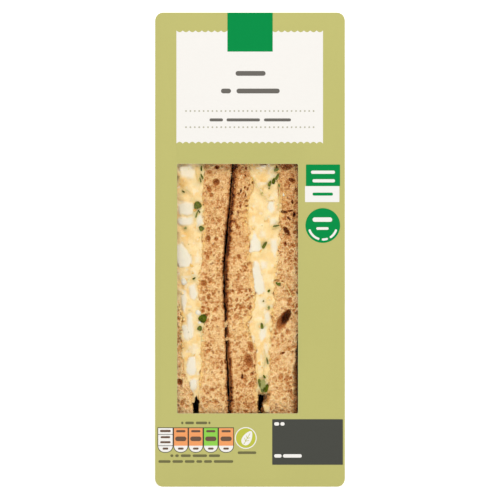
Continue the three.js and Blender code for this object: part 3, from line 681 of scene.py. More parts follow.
def edge_runs(edge, axis):
    """True if the edge runs along this axis of the panel's frame."""
    run = edge.verts[1].co - edge.verts[0].co
    return abs(run[axis]) > 0.99 * run.length


def round_upright_edges(piece, radius, segments, test=lambda edge: True):
    """Round the corners of a plate as seen from the front."""
    choose(piece, "EDGE", lambda edge: edge_runs(edge, 2) and test(edge))
    bpy.ops.mesh.bevel(offset=radius * MM, segments=segments, affect="EDGES")
    leave_edit()


def modify(piece, kind, **values):
    """Add a modifier and apply it."""
    modifier = piece.modifiers.new(kind.title(), kind)
    for key, value in values.items():
        setattr(modifier, key, value)
    pick(piece)
    bpy.ops.object.modifier_apply(modifier=modifier.name)


def cut_out(piece, cutter):
    modify(piece, "BOOLEAN", operation="DIFFERENCE", solver="EXACT", object=cutter)
    bpy.data.objects.remove(cutter, do_unlink=True)


def join(name, pieces):
    """Join pieces into one mesh that keeps their materials."""
    pick(*pieces)
    if len(pieces) > 1:
        bpy.ops.object.join()
    piece = bpy.context.view_layer.objects.active
    piece.name = name
    piece.data.name = name
    return piece


def paint(piece, *materials):
    piece.data.materials.clear()
    for material in materials:
        piece.data.materials.append(material)
    return piece


def place(piece, slot, *nodes, lean=True):
    """Put a finished piece into the row's frame, attach it to the body it rides on, and hide the CAD parts
    it stands for.
    """
    if lean:
        piece.data.transform(PANEL_TO_WORLD)
    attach(piece, BODY)
    if nodes:
        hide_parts(*nodes)
    return piece


def finish_card(piece, *nodes, lean=True):
    pick(piece)
    bpy.ops.object.shade_smooth_by_angle(angle=SMOOTH_ANGLE)
    place(piece, "card", *nodes, lean=lean)


def finish_food(piece, material, slot, *nodes):
    pick(piece)
    bpy.ops.object.shade_smooth()
    place(paint(piece, material), slot, *nodes)


def get_points(piece):
    points = np.empty(len(piece.data.vertices) * 3)
    piece.data.vertices.foreach_get("co", points)
    return points.reshape(-1, 3)


def set_points(piece, points):
    piece.data.vertices.foreach_set("co", np.ascontiguousarray(points, dtype=np.float32).ravel())
    piece.data.update()


def lay_out(piece, x, along, depth):
    """Put each point where the panel's frame says, in millimetres."""
    set_points(piece, np.column_stack([x, along, -depth]) * MM)


def add_share(piece, name, values):
    """Store one number for each point, for the material to read."""
    attribute = piece.data.attributes.new(name, "FLOAT", "POINT")
    attribute.data.foreach_set("value", np.ascontiguousarray(values, dtype=np.float32).ravel())


# Material steps


GLOW = ("Subsurface_Weight", "Subsurface_Scale", "Subsurface_Radius")


class Finish:
    """A node material in the making: a Principled shader and the nodes in front of it.
    glow is how much light passes under the surface, how far in metres, and its share of each colour."""

    def __init__(self, name, roughness, glow=(), **plain):
        self.material = bpy.data.materials.new(name)
        self.material.use_nodes = True
        self.tree = self.material.node_tree
        self.shader = self.tree.nodes["Principled BSDF"]
        self.shader.inputs["Roughness"].default_value = roughness
        for key, value in {**plain, **dict(zip(GLOW, glow))}.items():
            self.shader.inputs[key.replace("_", " ")].default_value = value
        self.coords = self.tree.nodes.new("ShaderNodeTexCoord").outputs["Object"]

    def node(self, kind, inputs=(), **settings):
        made = self.tree.nodes.new(kind)
        for key, value in settings.items():
            setattr(made, key, value)
        for key, value in dict(inputs).items():
            if isinstance(value, bpy.types.NodeSocket):
                self.tree.links.new(value, made.inputs[key])
            else:
                made.inputs[key].default_value = value
        return made

    def noise(self, size_mm, detail=2.0, roughness=0.5, stretch=None):
        """Noise with features of about this size."""
        coords = self.coords
        if stretch:
            coords = self.node("ShaderNodeMapping", {"Vector": coords, "Scale": stretch}).outputs[0]
        values = {"Vector": coords, "Scale": 1 / (size_mm * MM), "Detail": detail, "Roughness": roughness}
        return self.node("ShaderNodeTexNoise", values).outputs["Fac"]

    def spots(self, size_mm, low, high):
        """Round spots from a cell pattern, 1 at their middles."""
        values = {"Vector": self.coords, "Scale": 1 / (size_mm * MM)}
        cells = self.node("ShaderNodeTexVoronoi", values).outputs["Distance"]
        return self.remap(cells, low, high, 1, 0)

    def remap(self, value, low, high, to_low=0.0, to_high=1.0):
        ends = {"Value": value, "From Min": low, "From Max": high, "To Min": to_low, "To Max": to_high}
        return self.node("ShaderNodeMapRange", ends, clamp=True).outputs[0]

    def share(self, name):
        return self.node("ShaderNodeAttribute", attribute_name=name).outputs["Fac"]

    def maths(self, operation, first, second):
        return self.node("ShaderNodeMath", {0: first, 1: second}, operation=operation).outputs[0]

    def ramp(self, value, stops):
        ramp = self.node("ShaderNodeValToRGB", {"Fac": value})
        points = ramp.color_ramp.elements
        while len(points) < len(stops):
            points.new(1.0)
        for point, (position, colour) in zip(points, stops):
            point.position = position
            point.color = (*colour, 1)
        return ramp.outputs["Color"]

    def blend(self, factor, first, second, mode="MIX"):
        mix = self.node("ShaderNodeMix", {"Factor": factor}, data_type="RGBA", blend_type=mode)
        for socket, value in (("A", first), ("B", second)):
            target = [s for s in mix.inputs if s.name == socket and s.type == "RGBA"][0]
            if isinstance(value, bpy.types.NodeSocket):
                self.tree.links.new(value, target)
            else:
                target.default_value = (*value, 1)
        return [s for s in mix.outputs if s.type == "RGBA"][0]

    def tones(self, factor, colour, low, high):
        """A colour between a darker and a lighter shade of itself."""
        return self.blend(factor, shade(colour, low), shade(colour, high))

    def colour(self, socket):
        self.tree.links.new(socket, self.shader.inputs["Base Color"])

    def rough(self, socket):
        self.tree.links.new(socket, self.shader.inputs["Roughness"])

    def bump(self, *layers):
        """Bump from (height socket, height in mm) pairs."""
        normal = None
        for height, height_mm in layers:
            values = {"Height": height, "Distance": height_mm * MM, "Strength": 1.0}
            if normal:
                values["Normal"] = normal
            normal = self.node("ShaderNodeBump", values).outputs["Normal"]
        self.tree.links.new(normal, self.shader.inputs["Normal"])


def printed_card(name, colour, tone=0.03):
    """Satin print on coated card: a faint cloudy tone, board fibres and tiny scuffs."""
    finish = Finish(name, 0.45, Specular_IOR_Level=0.05)
    clouds = finish.noise(34, detail=3)
    fibres = finish.noise(0.9, detail=4, roughness=0.65, stretch=(0.35, 1, 1))
    tones = finish.tones(clouds, colour, 1 - tone, 1 + tone)
    finish.colour(finish.blend(finish.remap(fibres, 0.3, 0.7, 0, 0.10), tones, shade(colour, 0.86)))
    finish.rough(finish.remap(fibres, 0.2, 0.8, 0.38, 0.52))
    finish.bump((fibres, 0.012), (clouds, 0.5))
    return finish.material


def bare_card(name, colour, fibre_mm):
    """Uncoated board: matt, with visible fibres and a few darker ones."""
    finish = Finish(name, 0.85)
    fibres = finish.noise(fibre_mm, detail=5, roughness=0.7, stretch=(0.25, 1, 1))
    flecks = finish.noise(fibre_mm * 0.6, detail=2, stretch=(1, 0.2, 0.2))
    tones = finish.tones(fibres, colour, 0.84, 1.08)
    finish.colour(finish.blend(finish.remap(flecks, 0.66, 0.74, 0, 0.35), tones, shade(colour, 0.6)))
    finish.bump((fibres, 0.03))
    return finish.material


def clear_film():
    """Thin clear film: see-through, with a faint gloss that grows towards grazing views."""
    finish = Finish("clear_film", 0.06)
    ripples = finish.noise(26, detail=1)
    bump = finish.node("ShaderNodeBump", {"Height": ripples, "Distance": 0.35 * MM, "Strength": 1.0})
    gloss = finish.node("ShaderNodeBsdfAnisotropic", {"Roughness": 0.06, "Normal": bump.outputs["Normal"]})
    clear = finish.node("ShaderNodeBsdfTransparent", {"Color": (0.961, 0.96, 0.958, 1)})
    mirror = finish.node("ShaderNodeFresnel", {"IOR": 1.12, "Normal": bump.outputs["Normal"]})
    inner_side = finish.node("ShaderNodeNewGeometry").outputs["Backfacing"]
    share = finish.maths("MULTIPLY", mirror.outputs[0], finish.maths("SUBTRACT", 1.0, inner_side))
    both = finish.node("ShaderNodeMixShader", {0: share, 1: clear.outputs[0], 2: gloss.outputs[0]})
    output = next(n for n in finish.tree.nodes if n.type == "OUTPUT_MATERIAL")
    finish.tree.links.new(both.outputs[0], output.inputs["Surface"])
    finish.tree.nodes.remove(finish.shader)
    return finish.material


def crumb_material(name, settings, warmth):
    """Cut malted crumb coloured by its height share: painted highlight on pale rims, tan walls, painted
    shade in brown pores and dark deep holes, toasted flakes, filling smears.
    """
    finish = Finish(name, 0.92, glow=(0.3, 0.001, (1, 0.55, 0.25)), Specular_IOR_Level=0.2)
    grain = finish.noise(0.42, detail=4, roughness=0.65)
    patches = finish.noise(5.5, detail=3)
    height = finish.share("height")
    level = finish.maths("ADD", height, finish.remap(grain, 0.25, 0.75, -0.33, 0.33))
    # The height share paints shade into pits, gaps and rounded edges and paints highlight on raised crumb
    stops = [
        (0.0, settings.crumb_deep_painted_shade),
        (0.30, settings.crumb_brown_painted_shade),
        (0.62, settings.crumb_tan),
        (0.95, settings.crumb_pale_painted_highlight),
    ]
    crumb = finish.ramp(level, stops)
    tint = finish.blend(finish.remap(patches, 0.3, 0.7), warmth, (1.0, 1.0, 1.0))
    crumb = finish.blend(0.75, crumb, tint, mode="MULTIPLY")
    flakes = finish.spots(2.6, 0.10, 0.24)
    crumb = finish.blend(finish.maths("MULTIPLY", flakes, 0.7), crumb, settings.malt)
    rubbed = finish.remap(finish.noise(1.3, detail=3), 0.32, 0.6)
    crumb = finish.blend(finish.maths("MULTIPLY", finish.share("smear"), rubbed), crumb, settings.oil)
    crust = finish.tones(finish.noise(3, detail=4), settings.crust, 0.65, 1.25)
    finish.colour(finish.blend(finish.share("crust"), crumb, crust))
    finish.bump((grain, 0.14), (finish.noise(1.4, detail=3), 0.12))
    return finish.material


def mash_material(settings):
    """Egg mayonnaise: cream and gold patches, soft moist sheen, fine grains of yolk."""
    finish = Finish("egg_mash", 0.42, glow=(0.22, 0.0016, (1, 0.75, 0.35)))
    clouds = finish.noise(3.6, detail=4, roughness=0.6)
    grains = finish.noise(0.55, detail=3, roughness=0.6)
    level = finish.maths("ADD", clouds, finish.remap(grains, 0.3, 0.7, -0.08, 0.08))
    warm = [0.3 * gold + 0.7 * cream for gold, cream in zip(settings.mash_gold, settings.mash_cream)]
    mash = finish.ramp(level, [(0.30, warm), (0.46, settings.mash_cream), (0.70, settings.mash_pale)])
    mash = finish.blend(finish.share("gold"), mash, settings.mash_gold)
    milky = finish.tones(finish.noise(2.4, detail=3), settings.egg_white, 0.95, 1.05)
    white = finish.share("white")
    mash = finish.blend(white, mash, milky)
    mash = finish.blend(finish.share("green"), mash, settings.leaf_tint)
    flecks = finish.spots(3.1, 0.05, 0.12)
    finish.colour(finish.blend(finish.maths("MULTIPLY", flecks, 0.5), mash, settings.green_fleck))
    finish.rough(finish.remap(grains, 0.2, 0.8, 0.38, 0.6))
    soft = finish.remap(white, 0, 1, 1, 0.25)
    lumps, fine = (finish.maths("MULTIPLY", layer, soft) for layer in (clouds, grains))
    finish.bump((lumps, 0.16), (fine, 0.05))
    return finish.material


def egg_white_material(settings):
    """Boiled egg white: smooth, milky and slightly translucent, with faint clouding."""
    finish = Finish("egg_white", 0.3, glow=(0.3, 0.002, (1, 0.9, 0.75)))
    clouds = finish.noise(2.2, detail=3)
    grain = finish.noise(0.35, detail=2)
    milky = finish.tones(clouds, settings.egg_white, 0.93, 1.05)
    tinged = finish.remap(finish.noise(4.2, detail=2), 0.52, 0.72, 0, 0.45)
    finish.colour(finish.blend(tinged, milky, settings.mash_cream))
    finish.rough(finish.remap(grain, 0.2, 0.8, 0.26, 0.42))
    finish.bump((clouds, 0.12), (grain, 0.015))
    return finish.material


def yolk_material(settings):
    finish = Finish("yolk_bits", 0.5, glow=(0.2, 0.001))
    grain = finish.noise(0.4, detail=4)
    patches = finish.noise(6, detail=1)
    cream = finish.blend(grain, shade(settings.mash_cream, 0.95), settings.mash_pale)
    finish.colour(finish.blend(finish.remap(patches, 0.45, 0.6), cream, settings.mash_gold))
    finish.bump((grain, 0.05))
    return finish.material


def leaf_material(settings):
    """Cress leaf: dark green with lighter veins, some leaves paler, waxy."""
    finish = Finish("cress_leaf", 0.55, Specular_IOR_Level=0.08)
    patches = finish.noise(1.1, detail=3)
    veins = finish.noise(0.35, detail=1, stretch=(1, 0.3, 0.3))
    green = finish.blend(finish.remap(patches, 0.35, 0.65), settings.cress_deep, settings.cress)
    green = finish.blend(finish.remap(veins, 0.56, 0.68, 0, 0.4), green, shade(settings.cress, 1.4))
    finish.colour(finish.blend(finish.share("pale"), green, settings.leaf_tint))
    finish.bump((veins, 0.04), (patches, 0.05))
    return finish.material


def stem_material(settings):
    finish = Finish("cress_stem", 0.35, glow=(0.2, 0.0005))
    patches = finish.noise(2.5, detail=2)
    finish.colour(finish.tones(patches, settings.stem, 0.75, 1.15))
    finish.bump((finish.noise(0.2, detail=1), 0.01))
    return finish.material


# Shared shapes of the sandwich


def smoothstep(share):
    share = np.clip(share, 0, 1)
    return share * share * (3 - 2 * share)


def rise(value, start, end):
    """0 up to start, 1 from end on and smooth between them. end may be the lower of the two."""
    return smoothstep((value - start) / (end - start))


def hump(value, middle, width):
    """1 at the middle, falling away smoothly to both sides."""
    return np.exp(-(((value - middle) / width) ** 2))


def profile_at(values, along):
    """Smooth height of a profile through one value at each station."""
    values = np.asarray(values, float)
    inside = np.clip(along, STATIONS[0], STATIONS[-1])
    i = np.clip(np.searchsorted(STATIONS, inside, side="left") - 1, 0, len(STATIONS) - 2)
    return values[i] + (values[i + 1] - values[i]) * rise(inside, STATIONS[i], STATIONS[i + 1])


def to_crust(along, depth):
    """Distance from a point of a slice to the nearer of its two crusts."""
    return np.minimum(along - depth - FOOT_CRUST, HEAD_CRUST - along - depth) / math.sqrt(2)


def face_at(name, along, depth):
    """x of a bread face anywhere in the sandwich."""
    own = profile_at(FACES[name], along)
    turns = SLICE_WAVE["along"] * along + SLICE_WAVE["depth"] * depth + FACES[name][0]
    wave = SLICE_WAVE["height"] * np.sin(turns)
    if name not in FACE_ACROSS_FILLING:
        return own + wave
    other = profile_at(FACES[FACE_ACROSS_FILLING[name]], along)
    closed = (own + other) / 2 + np.sign(own - other) * PINCH["half_gap"]
    return closed + (own - closed) * rise(to_crust(along, depth), PINCH["start"], PINCH["end"]) + wave


def cut_shift(name, along):
    """How far a face is dragged aside at the cut."""
    if name not in CUT_SHIFT:
        return 0 * along
    return np.interp(along, *np.transpose(CUT_SHIFT[name]))


def cut_face_at(name, along):
    """Where a face between two layers of the sandwich meets the cut."""
    return face_at(name, along, CUT_DEPTH) + cut_shift(name, along)


def arc(centre, radius, first, last, steps=24):
    turns = np.linspace(math.radians(first), math.radians(last), steps)
    return np.column_stack([centre[0] + radius * np.cos(turns), centre[1] + radius * np.sin(turns)])


def crust_path(foot, head, depth, tip_radius, corner_radius):
    """Points (along, depth) around a half slice behind its cut, and where the cut starts and ends."""
    first_end = depth + foot + tip_radius * (math.sqrt(2) - 1)
    last_end = head - depth - tip_radius * (math.sqrt(2) - 1)
    corner = ((foot + head) / 2, (head - foot) / 2 - corner_radius * math.sqrt(2))
    path = np.vstack([
        arc((first_end + tip_radius, depth), tip_radius, 180, 135),
        arc(corner, corner_radius, 135, 45),
        arc((last_end - tip_radius, depth), tip_radius, 45, 0),
    ])
    return path, first_end, last_end


def along_path(path, shares):
    """Points at shares of a path's length."""
    lengths = np.concatenate([[0], np.cumsum(np.hypot(*np.diff(path, axis=0).T))])
    wanted = np.asarray(shares) * lengths[-1]
    return np.interp(wanted, lengths, path[:, 0]), np.interp(wanted, lengths, path[:, 1])


def soft_noise(x, y, size, seed):
    """Smooth random heights from -1 to 1 with features of this size."""
    cells = 512
    table = np.random.default_rng(seed).uniform(-1, 1, (cells, cells))
    u, v = np.asarray(x) / size + 100, np.asarray(y) / size + 100
    i, j = np.floor(u).astype(int), np.floor(v).astype(int)
    fu, fv = smoothstep(u - i), smoothstep(v - j)
    i, j, i1, j1 = i % cells, j % cells, (i + 1) % cells, (j + 1) % cells
    near = table[i, j] * (1 - fu) + table[i1, j] * fu
    far = table[i, j1] * (1 - fu) + table[i1, j1] * fu
    return near * (1 - fv) + far * fv


def varied(x, y, seed, mean, swing, size):
    """A level that swings softly about its mean, with features of this size."""
    return mean + swing * soft_noise(x, y, size, seed)


def graded_rows(first, last, fine, coarse=1.0, margin=1.6):
    """Rows along the cut: fine behind the window, coarse under the card."""
    low, high = max(first, WINDOW["bottom"] - margin), WINDOW["top"] + margin
    rows = np.concatenate([
        np.linspace(first, low, round((low - first) / coarse), endpoint=False),
        np.linspace(low, high, round((high - low) / fine), endpoint=False),
        np.linspace(high, last, max(2, round((last - high) / coarse)) + 1),
    ])
    steps = ROW_BLOCK * math.ceil((len(rows) - 1) / ROW_BLOCK)
    return np.interp(np.linspace(0, len(rows) - 1, steps + 1), np.arange(len(rows)), rows)


def subdivided_block(name, counts):
    """A unit cube with this many steps along x, y and z, cut by edit-mode subdivision.
    Returns it with the whole-number step of each point on each axis."""
    pick()
    bpy.ops.mesh.primitive_cube_add(size=1)
    piece = named(name)
    for axis, count in enumerate(counts):
        split_edges(piece, axis, count)
    leave_edit()
    steps = np.rint((get_points(piece) + 0.5) * np.array(counts)).astype(int)
    return piece, steps


def half_block(name, columns, rows, outline, cut_depth):
    """A block with the outline of a half slice or filling. Returns it with the column, row and layer of
    each point, and where it lies. Layer 0 is the cut."""
    counts = (columns, len(rows) - 1, len(DEEP_SHARES) - 1)
    piece, steps = subdivided_block(name, counts)
    across, row, layer = steps[:, 0], steps[:, 1], counts[2] - steps[:, 2]
    path, first_end, last_end = outline
    crust_along, crust_depth = along_path(path, (rows - first_end) / (last_end - first_end))
    along = rows[row] + (crust_along - rows)[row] * DEEP_SHARES[layer]
    depth = cut_depth + (crust_depth - cut_depth)[row] * DEEP_SHARES[layer]
    return piece, (across, row, layer), along, depth


def bread_outline():
    return crust_path(FOOT_CRUST, HEAD_CRUST, CUT_DEPTH, CRUST_RADIUS, CRUST_RADIUS)


def filling_outline():
    span = FILLING_SPAN
    foot = FOOT_CRUST + span["crust_margin"] * math.sqrt(2)
    tip = (span["first"] - span["depth"] - foot) / (math.sqrt(2) - 1)
    head = span["last"] + span["depth"] + tip * (math.sqrt(2) - 1)
    return crust_path(foot, head, span["depth"], tip, span["corner"])


def filling_front(x, along):
    """Depth of the filling's front between its larger pieces."""
    across, start, up = FRONT_WAVE["lump"]
    lumps = np.sin(across * x + start) * np.sin(up * along)
    height, across, up = FRONT_WAVE["ridge"]
    ridges = height * np.sin(across * x - up * along)
    raised = np.where(x < 0, RAISED_END["by"] * rise(along, *RAISED_END["rows"]), 0)
    return FILLING_SPAN["depth"] + FRONT_WAVE["height"] * (lumps + ridges) - raised


# Bread


def press_pit(depths, floor, x, along, hole):
    """Sink one oval pit into a grid of depths, and paint its shade into floor, darker the deeper the pit.
    along is one value a row, in rising order.
    """
    cx, ca, width, height, tilt, pit_depth = hole
    reach = max(width, height) / 2
    first, last = np.searchsorted(along, (ca - reach, ca + reach))
    if first >= last:
        return
    rows = slice(first, last)
    dx = x[rows] - cx
    da = (along[rows] - ca)[:, None]
    turn = math.radians(tilt)
    across = (dx * math.cos(turn) + da * math.sin(turn)) / (width / 2)
    up = (da * math.cos(turn) - dx * math.sin(turn)) / (height / 2)
    inside = np.clip(1 - across**2 - up**2, 0, 1)
    dark = min(1, PIT["dark"] + PIT["painted_shade_by_depth"] * pit_depth)
    np.maximum(depths[rows], pit_depth * inside ** PIT["wall"], out=depths[rows])
    # Painted shade: the floor share darkens the crumb in the pit
    np.maximum(floor[rows], inside ** PIT["shade"] * dark, out=floor[rows])


def random_pores(draw, left, right, along, count):
    """Pores of a foam: many small ones and fewer large ones, each a little oval."""
    radius = PORES["smallest"] + PORES["range"] * draw.random(count) ** PORES["power"]
    stretch = 1 + PORES["stretch"] * draw.random(count)
    return np.column_stack([
        draw.uniform(left, right, count),
        draw.uniform(along[0], along[-1], count),
        2 * radius,
        2 * radius * stretch,
        draw.uniform(-90, 90, count),
        radius * draw.uniform(*PORES["depth"], count),
    ])


def random_grains(draw, left, right, along, count):
    """Torn grains that stand up from the crumb."""
    radius = draw.uniform(*GRAINS["radius"], count)
    return np.column_stack([
        draw.uniform(left, right, count),
        draw.uniform(along[0], along[-1], count),
        2 * radius,
        2 * radius * draw.uniform(*GRAINS["stretch"], count),
        draw.uniform(-90, 90, count),
        radius * draw.uniform(*GRAINS["depth"], count),
    ])


def torn_crumb(name, x, along, per_cm2):
    """Depth of the torn crumb below its cut at each point, and its height share.
    The share is 1 on a rim and 0 deep in a hole: painted shade in the pits and painted highlight on raised
    crumb."""
    seed = SLICES[name][2]
    draw = np.random.default_rng(seed)
    pits, pit_painted_shade, lifts, grain_painted_highlight, holes, hole_painted_shade = (np.zeros_like(x) for _ in range(6))
    span = along[(along > WINDOW["bottom"] - 2) & (along < WINDOW["top"] + 2)]
    left, right = x.min(), x.max()
    square_cm = (span[-1] - span[0]) * (right - left) / 100
    for pore in random_pores(draw, left, right, span, int(square_cm * per_cm2)):
        press_pit(pits, pit_painted_shade, x, along, pore)
    for grain in random_grains(draw, left, right, span, int(square_cm * (per_cm2 * GRAINS["per_pore"]))):
        press_pit(lifts, grain_painted_highlight, x, along, grain)
    up = along[:, None] + 0 * x
    wobble = varied(x, up, seed + 4, *HOLES["wobble"])
    for hole in CRUMB_HOLES[name]:
        press_pit(holes, hole_painted_shade, x + wobble, along, hole)

    low_rows = rise(up, *LOW_ROWS["rows"])
    openness = varied(x, up, seed + 5, *OPENNESS) + LOW_ROWS["openness"] * low_rows
    crumb_share = 1 - HOLES["smooth"] * smoothstep(hole_painted_shade * HOLES["rim"])
    depths = np.maximum(pits * openness * crumb_share, holes)
    floor = np.maximum(pit_painted_shade * openness * crumb_share, hole_painted_shade)
    # Raised grains and higher crumb are painted paler: a painted highlight
    lift, painted_highlight = GRAIN_RISE["height"] * lifts, GRAIN_RISE["share"] * grain_painted_highlight
    for number, (size, height, share) in enumerate(CRUMB_NOISE):
        layer = soft_noise(x, up, size, seed + 1 + number)
        lift += height * layer
        painted_highlight += share * layer
    size, height = BROAD_NOISE
    depths -= crumb_share * lift + height * soft_noise(x, up, size, seed + 3)
    # Rims start from a base share that pit floors lower: painted shade
    shares = CRUMB_SHARE["rim"] - CRUMB_SHARE["floor"] * floor + crumb_share * painted_highlight
    return depths, shares + LOW_ROWS["share"] * low_rows


def rounded_over(distance, width, drop):
    """Extra depth near an edge that rounds over."""
    share = np.clip(1 - distance / width, 0, 1)
    return drop * (1 - np.sqrt(np.clip(1 - share**2, 0, 1)))


def slice_sides(name, along, depth, behind):
    """x of a slice's two sides at each point. behind is 0 at the cut and 1 behind it."""
    gap = face_at("right_half_left", along, depth) - face_at("left_half_right", along, depth) - LEAST_GAP

    def side(face):
        x = face_at(face, along, depth)
        if face in GAP_CLOSED:
            return x + cut_shift(face, along) + behind * GAP_CLOSED[face] * gap
        return x + cut_shift(face, along) * (1 - behind)

    left, right = (side(face) for face in SLICES[name][:2])
    if name == "left_outer_slice":
        right += (1 - behind) * FOOT_LOBE["reach"] * hump(along, FOOT_LOBE["along"], FOOT_LOBE["width"])
    if name == "right_outer_slice":
        to_wall = np.clip(WALL_REACH["x"] - right, 0, WALL_REACH["most"])
        right += behind * to_wall + (1 - behind) * rise(along, *WALL_REACH["rows"])
        left -= behind * HOLLOW["reach"] * rise(along, *HOLLOW["reach_rows"])
    return left, right


def make_slice(name, settings, materials):
    left_name, right_name, seed, left_round, right_round, side_painted_shade = SLICES[name]
    outline = bread_outline()
    rows = graded_rows(outline[1], outline[2], settings.row_step / MM)
    columns = round((max(FACES[right_name]) - min(FACES[left_name])) / CRUMB_STEP)
    piece, places, along, depth = half_block(name, columns, rows, outline, CUT_DEPTH)
    across, row, layer = places
    left, right = slice_sides(name, along, depth, np.where(layer > 0, 1.0, 0.0))
    share = across / columns
    ragged = 0
    for (size, height), shift, number in ((RAGGED["fine"], seed, 8), (RAGGED["broad"], 0, 9)):
        ragged = ragged + height * soft_noise(along, depth + shift, size, seed + number)
    x = left + (right - left) * share + ragged * np.abs(2 * share - 1) ** RAGGED["power"]

    cut_left, cut_right = cut_face_at(left_name, rows)[:, None], cut_face_at(right_name, rows)[:, None]
    cut_x = cut_left + (cut_right - cut_left) * np.linspace(0, 1, columns + 1)
    from_left, from_right = cut_x - cut_left, cut_right - cut_x
    pits, height = torn_crumb(name, cut_x, rows, settings.pores_per_cm2)
    kept = np.clip(np.minimum(from_left, from_right) / SHALLOW["edge"], SHALLOW["least"], 1)
    pits = np.where(pits > SHALLOW["depth"], SHALLOW["depth"] + (pits - SHALLOW["depth"]) * kept, pits)
    if name == "right_inner_slice":
        wider = WIDER_ROUND["by"] * rise(rows, *WIDER_ROUND["rows"])[:, None]
        left_round = (left_round[0] + wider, left_round[1])
    if name == "right_outer_slice":
        low_rows = rise(rows, *HOLLOW["rows"])[:, None]
        pits += rounded_over(from_left, *HOLLOW["round"]) * low_rows
        # Painted shade in the hollow at the foot of the right filling
        height = height - HOLLOW_PAINTED_SHADE["dark"] * rise(from_left, *HOLLOW_PAINTED_SHADE["across"]) * low_rows
    for distance, (width, drop) in ((from_left, left_round), (from_right, right_round)):
        pits += rounded_over(distance, width, drop)
        # Painted shade on the rounded edges of the cut
        height = height - PAINTED_EDGE_SHADE * smoothstep(1 - distance / width) * drop
    # Painted light and shade along the slice, partly the crumb's own tone
    height = height + np.interp(rows, *np.transpose(CRUMB_TONE_AND_PAINTED_LIGHT[name]))[:, None]
    smear = smears(name, cut_x, rows, from_left, from_right)

    on_cut = layer == 0
    depth = depth + np.where(on_cut, pits[row, across], 0)
    lay_out(piece, x, along, depth)
    # Sides of the slice get a painted shade; the cut keeps its height share
    add_share(piece, "height", np.where(on_cut, height[row, across], side_painted_shade))
    add_share(piece, "smear", np.where(on_cut, smear[row, across], 0))
    add_share(piece, "crust", rise(to_crust(along, depth), *CRUST_FADE))
    finish_food(piece, materials[name], "bread", name)


def smears(name, x, rows, from_left, from_right):
    """How much filling is rubbed into the crumb beside it."""
    seed = SLICES[name][2]
    up = rows[:, None] + 0 * x
    reach = varied(x * 0, up, seed + 20, *SMEAR["reach"])
    for middle, spread, further in SMEAR_HUMPS.get(name, ()):
        reach = reach + further * hump(up, middle, spread)
    beside = from_right if name in ("left_outer_slice", "right_inner_slice") else from_left
    near = (1 - beside / np.maximum(reach, SMEAR["least"])) * SMEAR["strength"]
    return np.clip(near, 0, 1) * np.clip(varied(x, up, seed + 21, *SMEAR["patches"]), 0, 1)


# Filling


def chunk_distance(corners, x, along, seed):
    """How far each point lies outside a chopped piece with straight cut sides, in mm; less than 0 inside."""
    sharpness = CHUNK_EDGE["sharpness"]
    corners = np.array(corners)
    middle = corners.mean(axis=0)
    total = np.zeros_like(x)
    for start, end in zip(corners, np.roll(corners, -1, axis=0)):
        out_x, out_along = end[1] - start[1], start[0] - end[0]
        if out_x * (start[0] - middle[0]) + out_along * (start[1] - middle[1]) < 0:
            out_x, out_along = -out_x, -out_along
        beyond = ((x - start[0]) * out_x + (along - start[1]) * out_along) / math.hypot(out_x, out_along)
        total += np.exp(np.clip(beyond, -6, 6) * sharpness)
    return np.log(total) / sharpness - varied(x, along, seed, *CHUNK_EDGE["growth"])


def chunk_cover(beyond, softness, start, width, wider, weaker):
    return smoothstep((start - beyond) / (width + wider * softness)) * (1 - weaker * softness)


def press_chunks(table, x, along, front, seed):
    """Set flat-cut pieces of egg white into the mash. Returns the new front and where it is white."""
    white = np.zeros_like(x)
    draw = np.random.default_rng(seed)
    swing, lean = CHUNK_FRONT["swing"], CHUNK_FRONT["lean"]
    for number, (softness, corners) in enumerate(table):
        cx, ca = np.mean(corners, axis=0)
        beyond = chunk_distance(corners, x, along, seed + number)
        lean_x, lean_along = draw.uniform(-lean, lean, 2)
        level = FILLING_SPAN["depth"] - CHUNK_FRONT["out"] + draw.uniform(-swing, swing)
        if number == 0:
            level -= CHUNK_FRONT["first_out"]
        level = level + lean_x * (x - cx) + lean_along * (along - ca)
        level -= CHUNK_FRONT["dome"] * np.clip(-beyond, 0, CHUNK_FRONT["dome_width"])
        uneven = varied(x, along, seed + 3, *CHUNK_GROOVE["uneven"])
        groove = CHUNK_GROOVE["depth"] * (1 - softness) * uneven
        front = front + groove * hump(beyond, CHUNK_GROOVE["from_edge"], CHUNK_GROOVE["width"])
        front = front + (level - front) * chunk_cover(beyond, softness, *CHUNK_SHAPE_COVER)
        white = np.maximum(white, chunk_cover(beyond, softness, *CHUNK_WHITE_COVER))
    return front, white


def mash_spread(along, sizes, seeds):
    """How far the mash spreads over the bread beside it."""
    broad, fine = (soft_noise(along, 0 * along, size, seed) for size, seed in zip(sizes, seeds))
    return MASH_SPREAD[0] + MASH_SPREAD[1] * broad + MASH_SPREAD[2] * fine


def hang_low(name, share, along, seed):
    """Let the lower end of the mash hang down unevenly."""
    length, further = TONGUES[name]
    for more, start, end in further:
        length = length + more * rise(share, start, end)
    length = length + varied(share * 3, 0 * along, seed, *TONGUE_END["uneven"])
    reach = TONGUE_END["reach"]
    return along - length * np.clip((FILLING_SPAN["first"] + reach - along) / reach, 0, 1) ** 2


